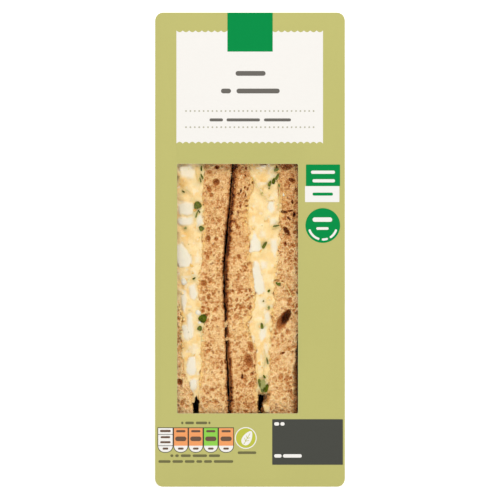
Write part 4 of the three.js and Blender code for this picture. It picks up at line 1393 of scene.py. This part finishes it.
def mash_colours(name, x, along, share, width, white):
    """Shares of egg white, gold and leaf green in the colour of the mash."""
    seed = FILLINGS[name][2]

    def patches(number, size, start, strength):
        return strength * rise(soft_noise(x, along, size, seed + number), start, start + PATCH_EDGE)

    white = np.maximum(white, patches(12, *WHITE_PATCHES))
    near_bread = rise(np.minimum(share, 1 - share) * width, GOLD_EDGE["width"], 0)
    gold = near_bread * varied(x, along, seed + 13, *GOLD_EDGE["uneven"])
    gold = np.maximum(gold, patches(14, *GOLD_PATCHES))
    patchy = varied(x, along, seed + 16, *GOLD_STAIN["uneven"])
    for cx, ca, size in GOLD_STAINS[name]:
        away = np.hypot(x - cx, (along - ca) * GOLD_STAIN["stretch"]) / size
        gold = np.maximum(gold, np.exp(-(away**2) * GOLD_STAIN["fade"]) * patchy)
    green = np.zeros(len(x))
    for cx, ca, leaf_width, leaf_height in (leaf[:4] for leaf in CRESS_LEAVES[name]):
        near = np.hypot(x - cx, along - ca) / (max(leaf_width, leaf_height) / 2 + LEAF_TINT["margin"])
        green = np.maximum(green, LEAF_TINT["strength"] * np.exp(-(near**2) * LEAF_TINT["fade"]))
    green = green * varied(x, along, seed + 15, *LEAF_TINT["uneven"])
    return {"white": white, "gold": np.clip(gold, 0, 1) * (1 - white), "green": green}


def make_mash(name, material):
    left_name, right_name, seed = FILLINGS[name]
    outline = filling_outline()
    rows = graded_rows(outline[1], outline[2], MASH_STEP)
    width = max(FACES[right_name]) - min(FACES[left_name]) + SPREAD_ROOM
    columns = round(width / MASH_STEP)
    piece, places, along, depth = half_block(name + "_mash", columns, rows, outline, FILLING_SPAN["depth"])
    across, _, layer = places
    near_cut = np.clip(1 - layer / 2, 0, 1)
    spread_left = mash_spread(along, SPREAD_SIZES[0], (seed + 5, seed + 18)) - cut_shift(left_name, along)
    spread_right = mash_spread(along, SPREAD_SIZES[1], (seed + 6, seed + 19)) + cut_shift(right_name, along)
    if name == "left_filling":
        spread_left += WIDER_SPREAD["by"] * rise(along, *WIDER_SPREAD["rows"])
    left = face_at(left_name, along, depth) - spread_left * near_cut
    right = face_at(right_name, along, depth) + spread_right * near_cut
    share = across / columns
    x = left + (right - left) * share

    along = hang_low(name, share, along, seed + 17)
    front = filling_front(x, along)
    for number, (size, height) in enumerate(MASH_NOISE):
        front -= height * soft_noise(x, along, size, seed + 7 + number)
    front, white = press_chunks(EGG_WHITE[name], x, along, front, seed + 200)
    uneven = varied(share * 2, along, seed + 10, *SUNK_EDGE["uneven"])
    sunk = SUNK_EDGE["drop"] * np.abs(2 * share - 1) ** SUNK_EDGE["power"]
    front += sunk * np.clip(uneven, SUNK_EDGE["least"], 1)
    reach = THIN_END["reach"]
    front += THIN_END["drop"] * np.clip((FILLING_SPAN["first"] + reach - along) / reach, 0, 1) ** 2
    lay_out(piece, x, along, np.where(layer == 0, front, depth))
    for key, values in mash_colours(name, x, along, share, width, white).items():
        add_share(piece, key, values)
    finish_food(piece, material, "filling", name)


def roughen(piece, size, height, seed):
    """Push the points of a small piece in and out by smooth noise."""
    points = get_points(piece)
    centre = points.mean(axis=0)
    out = []
    for point in points:
        away = Vector(point - centre).normalized()
        amount = noise.noise(Vector(point) / (size * MM) + Vector((seed, 2 * seed, 0)))
        out.append(point + np.array(away) * amount * height * MM)
    set_points(piece, np.array(out))


def egg_chunk(name, loose, draw):
    """A chopped piece of boiled egg: a block with four cut faces, softened."""
    x, along, width, height, tilt, depth = loose
    tilt = math.radians(tilt)
    size = (width, height, LOOSE_THICKNESS)
    middle = spot(x, along, depth)
    pick()
    scale = [extent * MM for extent in size]
    bpy.ops.mesh.primitive_cube_add(size=1, location=middle, rotation=(0, 0, tilt), scale=scale)
    piece = named(name)
    first_turn = draw.uniform(0, 2 * math.pi)
    for step in range(4):
        turn = first_turn + step * math.pi / 2 + draw.uniform(-CHOPPED["turn"], CHOPPED["turn"])
        way = Vector((math.cos(turn), math.sin(turn), draw.uniform(*CHOPPED["lean"])))
        reach = 0.5 * math.hypot(width * math.cos(turn - tilt), height * math.sin(turn - tilt))
        cut = middle + way * reach * draw.uniform(*CHOPPED["cut"]) * MM
        choose(piece, "FACE")
        bpy.ops.mesh.bisect(plane_co=cut, plane_no=way, use_fill=True, clear_outer=True)
    choose(piece, "EDGE")
    bpy.ops.mesh.bevel(offset=CHOPPED["bevel"] * min(size) * MM, segments=2, affect="EDGES")
    leave_edit()
    modify(piece, "REMESH", mode="VOXEL", voxel_size=CHOPPED["voxel"] * MM)
    modify(piece, "SMOOTH", factor=0.6, iterations=5)
    roughen(piece, *CHOPPED["rough"], draw.uniform(0, 90))
    return piece


def lump(name, place_at, size, draw, rings=1):
    """A small rough lump: an icosphere squeezed and roughened."""
    pick()
    turn = [draw.uniform(0, math.pi) for _ in range(3)]
    bpy.ops.mesh.primitive_ico_sphere_add(
        subdivisions=rings,
        radius=0.5,
        location=spot(*place_at),
        rotation=turn,
        scale=[size * MM * draw.uniform(*LUMP["squeeze"]) for _ in range(3)],
    )
    piece = named(name)
    roughen(piece, size * LUMP["feature"], size * LUMP["rough"], draw.uniform(0, 90))
    return piece


def make_egg_white(material):
    draw = np.random.default_rng(71)
    chunks = [egg_chunk("chunk", loose, draw) for loose in LOOSE_WHITE]
    finish_food(join("egg_white_chunks", chunks), material, "filling")


def make_yolk_bits(count, material):
    """Bits of egg on each filling, mash caught on the bread beside it, and one larger lump."""
    draw = np.random.default_rng(83)
    bits = []
    for faces in (filling[:2] for filling in FILLINGS.values()):
        for _ in range(count):
            along = draw.uniform(*EGG_BITS["rows"])
            left, right = (float(cut_face_at(face, along)) for face in faces)
            x = draw.uniform(left + EGG_BITS["margin"], right - EGG_BITS["margin"])
            smallest, range_up = EGG_BITS["size"]
            size = smallest + range_up * draw.random() ** 2
            depth = float(filling_front(x, along)) + EGG_BITS["sunk"] * size
            bits.append(lump("bit", (x, along, depth), size, draw, rings=2))
        for _ in range(count):
            along = draw.uniform(*MASH_BITS["rows"])
            side = draw.integers(2)
            out = (2 * side - 1) * abs(draw.normal(*MASH_BITS["out"]))
            x = float(cut_face_at(faces[side], along)) + out
            size = draw.uniform(*MASH_BITS["size"])
            bits.append(lump("bit", (x, along, CUT_DEPTH), size, draw, rings=2))
    bits.append(egg_chunk("bit", LOOSE_MASH, draw))
    finish_food(join("yolk_bits", bits), material, "filling")


def make_leaf(leaf, draw):
    """A thin wavy oval leaf with a sunken midrib, made from a grid and given thickness."""
    x, along, width, height, turn, pale = leaf
    pick()
    bpy.ops.mesh.primitive_grid_add(x_subdivisions=LEAF["columns"], y_subdivisions=LEAF["rows"], size=2)
    piece = named("leaf")
    points = get_points(piece)
    across, up = points[:, 0].copy(), points[:, 1].copy()
    far = np.maximum(np.abs(across), np.abs(up))
    reach = np.where(far > 0, far / np.maximum(np.hypot(across, up), 1e-9), 1) ** LEAF["round"]
    across, up = across * reach, up * reach
    cup, steepness = LEAF["cup"]
    wave, waves_across, waves_up = LEAF["wave"]
    wave = wave * np.sin(waves_across * across + draw.uniform(0, 6)) * np.cos(waves_up * up)
    lift = cup * np.abs(across) ** steepness + wave + LEAF["curl"] * up**2
    across = across * (1 - LEAF["narrow"] * up)
    set_points(piece, np.column_stack([across * width / 2, up * height / 2, lift]) * MM)
    depth = float(filling_front(x, along)) - LEAF["above"]
    tip = Matrix.Rotation(draw.uniform(-LEAF["tip"], LEAF["tip"]), 4, "X")
    tip = tip @ Matrix.Rotation(draw.uniform(-LEAF["tip"], LEAF["tip"]), 4, "Y")
    lay = Matrix.Translation(spot(x, along, depth)) @ Matrix.Rotation(math.radians(turn), 4, "Z")
    piece.data.transform(lay @ tip)
    modify(piece, "SOLIDIFY", thickness=LEAF["thickness"] * MM, offset=0, use_rim=True)
    modify(piece, "SUBSURF", levels=1, render_levels=1)
    add_share(piece, "pale", np.full(len(piece.data.vertices), pale))
    return piece


def make_stem(points):
    curve = bpy.data.curves.new("stem", "CURVE")
    curve.dimensions = "3D"
    curve.bevel_depth = STEM["radius"] * MM
    curve.bevel_resolution = 2
    curve.resolution_u = 8
    curve.use_fill_caps = True
    spline = curve.splines.new("BEZIER")
    spline.bezier_points.add(len(points) - 1)
    for knot, (x, along, above) in zip(spline.bezier_points, points):
        knot.co = spot(x, along, float(filling_front(x, along)) - STEM["above"] - above)
        knot.handle_left_type = knot.handle_right_type = "AUTO"
    stem = bpy.data.objects.new("stem", curve)
    bpy.context.scene.collection.objects.link(stem)
    pick(stem)
    bpy.ops.object.convert(target="MESH")
    return bpy.context.object


def make_cress(materials):
    draw = np.random.default_rng(97)
    leaves = [make_leaf(leaf, draw) for table in CRESS_LEAVES.values() for leaf in table]
    finish_food(join("cress_leaves", leaves), materials["leaf"], "filling")
    stems = [make_stem(points) for points in CRESS_STEMS]
    finish_food(join("cress_stems", stems), materials["stem"], "filling")


def crumb_place(kind, along, draw):
    """x and depth of a loose crumb: on an edge of the gap, on a seam beside the mash, or on the cut."""
    if kind < 2:
        face, side, sign = (("left_half_right", "left_edge", -1), ("right_half_left", "right_edge", 1))[kind]
        x = float(cut_face_at(face, along)) + sign * draw.uniform(*CRUMBS[side]["out"])
        return x, CUT_DEPTH + draw.uniform(*CRUMBS[side]["depth"])
    if kind < 4:
        seam = list(FACE_ACROSS_FILLING)[draw.integers(4)]
        x = float(cut_face_at(seam, along)) + draw.normal(0, CRUMBS["seam"]["spread"])
        return x, CUT_DEPTH + CRUMBS["seam"]["depth"]
    name = list(SLICES)[draw.integers(4)]
    left, right = (float(cut_face_at(face, along)) for face in SLICES[name][:2])
    return left + (right - left) * draw.uniform(*CRUMBS["cut"]["across"]), CUT_DEPTH + CRUMBS["cut"]["depth"]


def make_crumbs(count, material):
    """Loose crumbs of six kinds in turn, and crumbs that bridge the gap."""
    draw = np.random.default_rng(101)
    crumbs = []
    for step in range(count):
        along = draw.uniform(*CRUMBS["rows"])
        x, depth = crumb_place(step % 6, along, draw)
        crumbs.append(lump("crumb", (x, along, depth), draw.uniform(*CRUMBS["size"]), draw))
    for along, span in CRUMB_BRIDGES:
        left, right = (float(cut_face_at(face, along)) for face in GAP_CLOSED)
        for _ in range(round(BRIDGE["per_span"] * span)):
            x = draw.uniform(left - BRIDGE["left"], right + BRIDGE["right"])
            up = along + draw.normal(0, BRIDGE["spread"] * span)
            where = (x, up, CUT_DEPTH + draw.uniform(*BRIDGE["depth"]))
            crumbs.append(lump("crumb", where, draw.uniform(*BRIDGE["size"]), draw))
    piece = join("bread_crumbs", crumbs)
    x, along = get_points(piece)[:, :2].T / MM
    shares = {"height": varied(x, along, 102, *CRUMBS["share"]), "smear": 0 * x, "crust": 0 * x}
    for key, values in shares.items():
        add_share(piece, key, values)
    place(paint(piece, material), "bread")


# Card pack


def make_front_panel(settings, materials):
    """Flat front panel with rounded corners and a window, its cut edges showing the bare card."""
    half = PANEL["half_width"]
    panel = block("front_panel", (-half, 0, 0), (half, PANEL["height"], settings.thickness / MM))
    round_upright_edges(panel, settings.corner_radius / MM, 8)
    choose(panel, "FACE")
    bpy.ops.mesh.bisect(plane_co=(0, 0, 0), plane_no=(0, 1, 1), use_fill=True, clear_inner=True)
    leave_edit()
    low = (WINDOW["left"], WINDOW["bottom"], -2)
    high = (WINDOW["right"], WINDOW["top"], 2)
    cutter = block("window_cutter", low, high)
    round_upright_edges(cutter, WINDOW["radius"], 4)
    cut_out(panel, cutter)
    bevel = {"width": CARD_EDGE_BEVEL * MM, "segments": 2, "limit_method": "ANGLE"}
    modify(panel, "BEVEL", angle_limit=math.radians(50), **bevel)
    paint(panel, materials["green"], materials["cut_edge"], materials["board"])
    for face in panel.data.polygons:
        if face.normal.z < -0.9:
            face.material_index = 2
        elif face.normal.z < 0.95:
            face.material_index = 1
    finish_card(panel, "carton")


def make_tray(settings, materials):
    """Wedge-shaped tray: two square legs, two side walls and a flange glued behind the front panel."""
    thickness = settings.thickness / MM
    front = Vector((0, FOOT_Y, 0)) * MM - OUTWARD * TRAY_DEPTH * MM
    side_x, outer_x = BODY_HALF_WIDTH * MM, FLANGE_HALF_WIDTH * MM
    back = (FOOT_Y + WALL) * MM
    top = (BODY_HEIGHT - TRAY_DEPTH) * math.sin(LEAN) * MM - TRAY_DEPTH * math.cos(LEAN) * MM
    tray = cube("carton_tray", Vector((-side_x, FOOT_Y * MM, 0)), Vector((side_x, back, WALL * MM)))
    choose(tray, "FACE")
    bpy.ops.mesh.bisect(plane_co=front, plane_no=OUTWARD, clear_outer=True)

    def in_front(vertex):
        return abs((vertex.co - front).dot(OUTWARD)) < NEAR

    # flange at both sides, above the body and under it
    for side in (-1, 1):
        choose_edges(tray, lambda vertex: in_front(vertex) and abs(vertex.co.x - side * side_x) < NEAR)
        extrude((side * (outer_x - side_x), 0, 0))
    choose_edges(tray, lambda vertex: in_front(vertex) and vertex.co.z > top - NEAR)
    extrude(UPWARD * TOP_FLANGE * MM)
    choose_edges(
        tray, lambda vertex: in_front(vertex) and vertex.co.z < NEAR and abs(vertex.co.x) < side_x + NEAR
    )
    reach = 2 * (TRAY_DEPTH - thickness - CARD_GAP) * math.cos(LEAN)
    extrude((0, -reach * MM, 0))

    half_flange = top + 0.5 * TOP_FLANGE * math.sin(LEAN) * MM
    choose(tray, "VERT", lambda v: abs(v.co.x) > outer_x - NEAR and not NEAR <= v.co.z <= half_flange)
    bpy.ops.mesh.bevel(affect="VERTICES", offset=settings.corner_radius, segments=6)
    choose_edges(tray, lambda vertex: vertex.co.z < NEAR and vertex.co.y > back - NEAR)
    bpy.ops.mesh.bevel(offset=BACK_FOLD_RADIUS * MM, segments=4, affect="EDGES")

    def side_fold(edge):
        on_side = all(abs(abs(v.co.x) - side_x) < NEAR for v in edge.verts)
        return on_side and len(edge.link_faces) == 2 and not all(in_front(v) for v in edge.verts)

    choose(tray, "EDGE", side_fold)
    bpy.ops.mesh.bevel(offset=SIDE_FOLD_RADIUS * MM, segments=3, affect="EDGES")
    bpy.ops.mesh.select_all(action="SELECT")
    bpy.ops.mesh.normals_make_consistent(inside=False)
    lowest = min(bmesh.from_edit_mesh(tray.data).faces, key=lambda face: face.calc_center_median().z)
    if lowest.normal.z > 0:
        bpy.ops.mesh.flip_normals()
    leave_edit()
    paint(tray, materials["green"], materials["board"], materials["cut_edge"])
    thick = {"thickness": (thickness - CARD_GAP) * MM, "use_rim": True}
    modify(tray, "SOLIDIFY", offset=-1, material_offset=1, material_offset_rim=2, **thick)
    finish_card(tray, "carton", lean=False)


def make_glue_tabs(materials):
    """Tapered tabs of the back wall, stuck on the outside of each side wall."""
    tabs = []
    back = FOOT_Y + WALL
    for side in (-1, 1):
        low = Vector((side * (BODY_HALF_WIDTH + CARD_GAP), back - TAB["width"], TAB["foot"])) * MM
        high = Vector((side * (BODY_HALF_WIDTH + TAB["thickness"]), back - TAB["setback"], TAB["head"])) * MM
        tab = cube("tab", low, high)
        middle = (low.z + high.z) / 2
        for end in (-1, 1):
            choose(tab, "VERT", lambda v: v.co.y < low.y + MM and (v.co.z - middle) * end > 0)
            bpy.ops.transform.translate(value=(0, 0, -end * TAB["taper"] * MM))
        choose(tab, "EDGE")
        bpy.ops.mesh.bevel(offset=TAB_EDGE_BEVEL * MM, segments=2, affect="EDGES")
        leave_edit()
        tabs.append(tab)
    tabs = join("glue_tabs", tabs)
    paint(tabs, materials["green"], materials["cut_edge"])
    for face in tabs.data.polygons:
        face.material_index = 0 if abs(face.normal.x) > 0.95 else 1
    finish_card(tabs, lean=False)


# Print: thin plates on the card, each colour above the one before it


def across_panel(pixel):
    return (pixel - PANEL_MIDDLE_PIXEL) * MM_PER_PIXEL


def up_panel(pixel):
    return (PANEL_FOOT_PIXEL - pixel) * MM_PER_PIXEL


def patch(name, box, level, material, radius=0.0):
    """A printed patch: a thin plate with rounded corners, placed in pixels of the photograph."""
    left, top, right, bottom = box
    low = (across_panel(left), up_panel(bottom), -PRINT_LEVELS[level])
    high = (across_panel(right), up_panel(top), CARD_GAP)
    piece = block(name, low, high)
    if radius:
        round_upright_edges(piece, radius * MM_PER_PIXEL, 5)
    return paint(piece, material)


def bar(box, level, material):
    """A printed bar with round ends."""
    left, top, right, bottom = box
    return patch("bar", box, level, material, radius=min(bottom - top, right - left) * 0.48)


def bars(boxes, level, material):
    return [bar(box, level, material) for box in boxes]


def round_patch(name, centre, radius, level, material, sides=48):
    x, along = across_panel(centre[0]), up_panel(centre[1])
    return paint(disc(name, x, along, PRINT_LEVELS[level], radius * MM_PER_PIXEL, sides), material)


def finish_print(name, pieces):
    place(join(name, pieces), "card")


def make_label(ink):
    """White label with scalloped ends, a green tab, dotted lines and title bars."""
    label = patch("label", LABEL, 0, ink["label_white"])
    split_edges(label, 0, SCALLOPS["count"] * SCALLOPS["steps_each"])
    leave_edit()
    points = get_points(label)
    middle = (points[:, 1].max() + points[:, 1].min()) / 2
    share = (points[:, 0] - points[:, 0].min()) / np.ptp(points[:, 0])
    bite = np.abs(np.sin(math.pi * SCALLOPS["count"] * share)) * SCALLOPS["depth"] * MM_PER_PIXEL * MM
    points[:, 1] -= np.sign(points[:, 1] - middle) * bite
    set_points(label, points)
    finish_print("label", [label])
    finish_print("label_tab", [patch("tab", LABEL_TAB, 1, ink["deep_green"])])
    finish_print("title_bars", bars(TITLE_BARS, 1, ink["text_grey"]))
    rows = DOTTED_LINES
    dot = round_patch("dot", (rows["first"], rows["rows"][0]), rows["radius"], 1, ink["dots"], sides=10)
    across = rows["step"] * MM_PER_PIXEL * MM
    down = (rows["rows"][1] - rows["rows"][0]) * MM_PER_PIXEL * MM
    spaced = {"use_relative_offset": False, "use_constant_offset": True}
    modify(dot, "ARRAY", count=rows["count"], constant_offset_displace=(across, 0, 0), **spaced)
    modify(dot, "ARRAY", count=2, constant_offset_displace=(0, -down, 0), **spaced)
    finish_print("label_dots", [dot])


def make_offer_badge(ink):
    offer = OFFER_BADGE
    pieces = [
        patch("badge", offer["dark"], 0, ink["deep_green"], radius=offer["round"]),
        patch("badge", offer["pale"], 1, ink["label_white"], radius=offer["round"]),
    ]
    pieces += bars(offer["pale_bars"], 1, ink["label_white"])
    pieces += bars(offer["dark_bars"], 2, ink["deep_green"])
    finish_print("offer_badge", pieces)


def make_energy_badge(ink):
    """Round badge with bars across it and bent bars around its edge."""
    badge = ENERGY_BADGE
    centre_x, centre_y = badge["centre"]
    pieces = [round_patch("badge", badge["centre"], badge["radius"], 0, ink["deep_green"], sides=64)]
    pieces += bars(badge["bars"], 1, ink["label_white"])
    radius, half = badge["arc_radius"], badge["arc_width"] / 2
    for first, last in badge["arcs"]:
        piece = bar((0, -half, math.radians(last - first) * radius, half), 1, ink["label_white"])
        split_edges(piece, 0, 8)
        leave_edit()
        points = get_points(piece)
        turn = math.radians(first) + (points[:, 0] / MM - across_panel(0)) / MM_PER_PIXEL / radius
        reach = radius * MM_PER_PIXEL - (points[:, 1] / MM - up_panel(0))
        points[:, 0] = (across_panel(centre_x) + reach * np.cos(turn)) * MM
        points[:, 1] = (up_panel(centre_y) + reach * np.sin(turn)) * MM
        set_points(piece, points)
        pieces.append(piece)
    finish_print("energy_badge", pieces)


def make_nutrition(ink):
    """Row of nutrition columns, round at the foot, with bars in them and short bars above and below."""
    panel = []
    columns, top, outline = NUTRITION["columns"], NUTRITION["top"], NUTRITION["outline"]
    foot = up_panel(NUTRITION["split"]) * MM
    for left, right, field in zip(columns, columns[1:], NUTRITION["fields"]):
        for inset, level, colour in ((0, 0, "ink"), (outline, 1, "label_white")):
            box = (left + inset, top + inset, right - inset, NUTRITION["bottom"] - inset)
            plate = patch("column", box, level, ink[colour])
            radius = (NUTRITION["round"] - inset) * MM_PER_PIXEL
            round_upright_edges(plate, radius, 6, lambda edge: edge.verts[0].co.y < foot)
            panel.append(plate)
        if field != "label_white":
            box = (left + outline, top + outline, right - outline, NUTRITION["split"])
            panel.append(patch("field", box, 2, ink[field]))
        middle = (left + right) / 2
        rows = NUTRITION["words"] if field == "label_white" else NUTRITION["figures"]
        boxes = [(middle - wide, row - high, middle + wide, row + high) for row, wide, high in rows]
        panel += bars(boxes, 3, ink["figures"])
    inset, half = NUTRITION["line_inset"], NUTRITION["line_half"]
    for row in NUTRITION["lines"]:
        box = (columns[0] + inset, row - half, columns[1] - inset, row + half)
        panel.append(patch("line", box, 3, ink["ink"]))
    for (top, bottom), words in SMALL_PRINT.items():
        panel += bars([(left, top, right, bottom) for left, right in words], 0, ink["small_print"])
    finish_print("nutrition_panel", panel)


def make_roundel(ink):
    """Round diet mark with a plain leaf."""
    centre, (length, width) = ROUNDEL["centre"], ROUNDEL["leaf"]
    ring = round_patch("ring", centre, ROUNDEL["radius"], 0, ink["label_white"])
    field = round_patch("field", centre, ROUNDEL["field"], 1, ink["leaf_yellow"])
    leaf = round_patch("leaf", centre, length, 2, ink["label_white"])
    along = up_panel(centre[1])
    leaf.data.transform(Matrix.Translation(-spot(across_panel(centre[0]), along, 0)))
    points = get_points(leaf)
    long_share = points[:, 0] / points[:, 0].max()
    points[:, 1] *= width / length * (1 - ROUNDEL["taper"] * long_share)
    set_points(leaf, points)
    turned = Matrix.Rotation(math.radians(ROUNDEL["turn"]), 4, "Z")
    to_place = Matrix.Translation(spot(across_panel(centre[0] + ROUNDEL["leaf_shift"]), along, 0)) @ turned
    leaf.data.transform(to_place)
    pieces = [ring, field, leaf, bar(ROUNDEL["bar"], 0, ink["small_print"])]
    half = ROUNDEL["vein_half_width"]
    for start, end, turn in ROUNDEL["veins"]:
        vein = bar((start, -half, end, half), 3, ink["leaf_yellow"])
        vein.data.transform(Matrix.Translation(-spot(across_panel(0), up_panel(0), 0)))
        hinge = Matrix.Translation(spot(start * MM_PER_PIXEL, 0, 0))
        swing = hinge @ Matrix.Rotation(math.radians(turn), 4, "Z") @ hinge.inverted()
        vein.data.transform(to_place @ swing)
        pieces.append(vein)
    finish_print("diet_roundel", pieces)


def make_date_box(ink):
    box = [patch("box", DATE_BOX["field"], 0, ink["box_grey"], radius=DATE_BOX["round"])]
    finish_print("date_box", box + bars(DATE_BOX["bars"], 1, ink["label_white"]))


# Stage


def add_light(name, power, turn, lift, distance, size, tint):
    """A soft square light that faces the middle of the window."""
    across = math.tan(math.radians(turn))
    upward = math.tan(math.radians(lift))
    way = (OUTWARD + Vector((across, 0, 0)) + UPWARD * upward).normalized()
    bpy.ops.object.light_add(type="AREA", location=PANEL_TO_WORLD @ spot(*LIT_POINT) + way * distance)
    light = bpy.context.object
    light.name = name
    light.data.shape = "SQUARE"
    light.data.size = size
    light.data.energy = power
    light.data.color = tint
    light.rotation_euler = way.to_track_quat("Z", "Y").to_euler()


def make_floor(settings):
    pick()
    bpy.ops.mesh.primitive_circle_add(
        vertices=96, radius=FLOOR_RADIUS, fill_type="NGON", location=(0, 0, -0.0002)
    )
    floor = named("floor")
    finish = Finish("floor", 0.9, Emission_Strength=0.4, Emission_Color=(1, 1, 1, 1), Specular_IOR_Level=0.1)
    finish.colour(finish.tones(finish.noise(60, detail=3), settings.floor, 0.99, 1))
    paint(floor, finish.material)


def make_stage(settings):
    make_floor(settings)
    add_light("key_light", settings.key_power, **LIGHTS["key_light"])
    add_light("fill_light", settings.fill_power, **LIGHTS["fill_light"])
    scene = bpy.context.scene
    scene.world = bpy.data.worlds.new("studio")
    scene.world.use_nodes = True
    sky = scene.world.node_tree.nodes["Background"].inputs
    sky["Color"].default_value = (1, 1, 1, 1)
    sky["Strength"].default_value = settings.sky_strength
    middle = FRAME_PIXELS / 2
    target = PANEL_TO_WORLD @ spot(across_panel(middle), up_panel(middle), 0)
    bpy.ops.object.camera_add(location=target + OUTWARD * settings.camera_distance, rotation=(LEAN, 0, 0))
    camera = bpy.context.object
    camera.name = "camera"
    camera.data.sensor_width = SENSOR_WIDTH
    camera.data.lens = SENSOR_WIDTH * settings.camera_distance / (FRAME_PIXELS * MM_PER_PIXEL * MM)
    camera.data.clip_end = 20
    scene.camera = camera
    scene.view_settings.view_transform = "Standard"
    scene.view_settings.look = "None"


# Operators and panel


class SANDWICH_OT_carton(bpy.types.Operator):
    """Front panel, tray and glue tabs of the card pack"""

    bl_idname = "sandwich.carton"
    bl_label = "Card Pack"

    def execute(self, context):
        card = context.scene.sandwich_card
        materials = {
            "green": printed_card("card_green", card.green),
            "cut_edge": bare_card("card_cut_edge", card.cut_edge, 0.3),
            "board": bare_card("card_board", card.board, 0.8),
        }
        make_front_panel(card, materials)
        make_tray(card, materials)
        make_glue_tabs(materials)
        return {"FINISHED"}


class SANDWICH_OT_print(bpy.types.Operator):
    """Label, badges, nutrition panel, diet roundel and date box printed on the card"""

    bl_idname = "sandwich.print"
    bl_label = "Print"

    def execute(self, context):
        card = context.scene.sandwich_card
        colours = ("label_white", "deep_green", "text_grey", "ink", "box_grey", "amber", "light_green")
        colours += ("small_print", "figures", "leaf_yellow", "dots")
        ink = {name: printed_card("print_" + name, getattr(card, name), 0.012) for name in colours}
        make_label(ink)
        make_offer_badge(ink)
        make_energy_badge(ink)
        make_nutrition(ink)
        make_roundel(ink)
        make_date_box(ink)
        return {"FINISHED"}


class SANDWICH_OT_film(bpy.types.Operator):
    """Clear finish for the CAD window film"""

    bl_idname = "sandwich.film"
    bl_label = "Window Film"

    def execute(self, context):
        paint(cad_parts["window_film"], clear_film())
        return {"FINISHED"}


class SANDWICH_OT_bread(bpy.types.Operator):
    """Four half slices of malted bread and their crumbs"""

    bl_idname = "sandwich.bread"
    bl_label = "Bread"

    def execute(self, context):
        bread = context.scene.sandwich_bread
        warmths = {
            "left_outer_slice": (1.0, 0.96, 0.92),
            "left_inner_slice": (0.96, 0.92, 0.86),
            "right_inner_slice": (0.96, 0.92, 0.86),
            "right_outer_slice": (0.96, 0.9, 0.84),
        }
        materials = {name: crumb_material(name, bread, warmth) for name, warmth in warmths.items()}
        for name in SLICES:
            make_slice(name, bread, materials)
        make_crumbs(bread.crumbs, materials["left_inner_slice"])
        return {"FINISHED"}


class SANDWICH_OT_filling(bpy.types.Operator):
    """Egg mash, chopped egg white, yolk bits and cress"""

    bl_idname = "sandwich.filling"
    bl_label = "Filling"

    def execute(self, context):
        filling = context.scene.sandwich_filling
        mash = mash_material(filling)
        for name in FILLINGS:
            make_mash(name, mash)
        make_egg_white(egg_white_material(filling))
        make_yolk_bits(filling.bits, yolk_material(filling))
        make_cress({"leaf": leaf_material(filling), "stem": stem_material(filling)})
        return {"FINISHED"}


class SANDWICH_OT_stage(bpy.types.Operator):
    """Pale floor, soft lights and the camera square on to the panel"""

    bl_idname = "sandwich.stage"
    bl_label = "Stage"

    def execute(self, context):
        make_stage(context.scene.sandwich_stage)
        return {"FINISHED"}


class SANDWICH_PT_builder(bpy.types.Panel):
    """Steps and settings in the 3D view's sidebar"""

    bl_idname = "SANDWICH_PT_builder"
    bl_label = "Packed Sandwich"
    bl_space_type = "VIEW_3D"
    bl_region_type = "UI"
    bl_category = "Sandwich"

    def draw(self, context):
        for operator in OPERATORS:
            self.layout.operator(operator.bl_idname)
        for name in SETTINGS:
            box = self.layout.box()
            settings = getattr(context.scene, name)
            for key in settings.__annotations__:
                box.prop(settings, key)


SETTINGS = {
    "sandwich_card": CardSettings,
    "sandwich_bread": BreadSettings,
    "sandwich_filling": FillingSettings,
    "sandwich_stage": StageSettings,
}
OPERATORS = (
    SANDWICH_OT_carton,
    SANDWICH_OT_print,
    SANDWICH_OT_film,
    SANDWICH_OT_bread,
    SANDWICH_OT_filling,
    SANDWICH_OT_stage,
)


def register():
    for settings in SETTINGS.values():
        bpy.utils.register_class(settings)
    for name, settings in SETTINGS.items():
        setattr(bpy.types.Scene, name, PointerProperty(type=settings))
    for operator in OPERATORS:
        bpy.utils.register_class(operator)
    bpy.utils.register_class(SANDWICH_PT_builder)


def unregister():
    bpy.utils.unregister_class(SANDWICH_PT_builder)
    for operator in reversed(OPERATORS):
        bpy.utils.unregister_class(operator)
    for name, settings in SETTINGS.items():
        delattr(bpy.types.Scene, name)
        bpy.utils.unregister_class(settings)


def main():
    register()
    bpy.ops.sandwich.carton()
    bpy.ops.sandwich.print()
    bpy.ops.sandwich.film()
    bpy.ops.sandwich.bread()
    bpy.ops.sandwich.filling()
    bpy.ops.sandwich.stage()


if __name__ == "__main__":
    main()
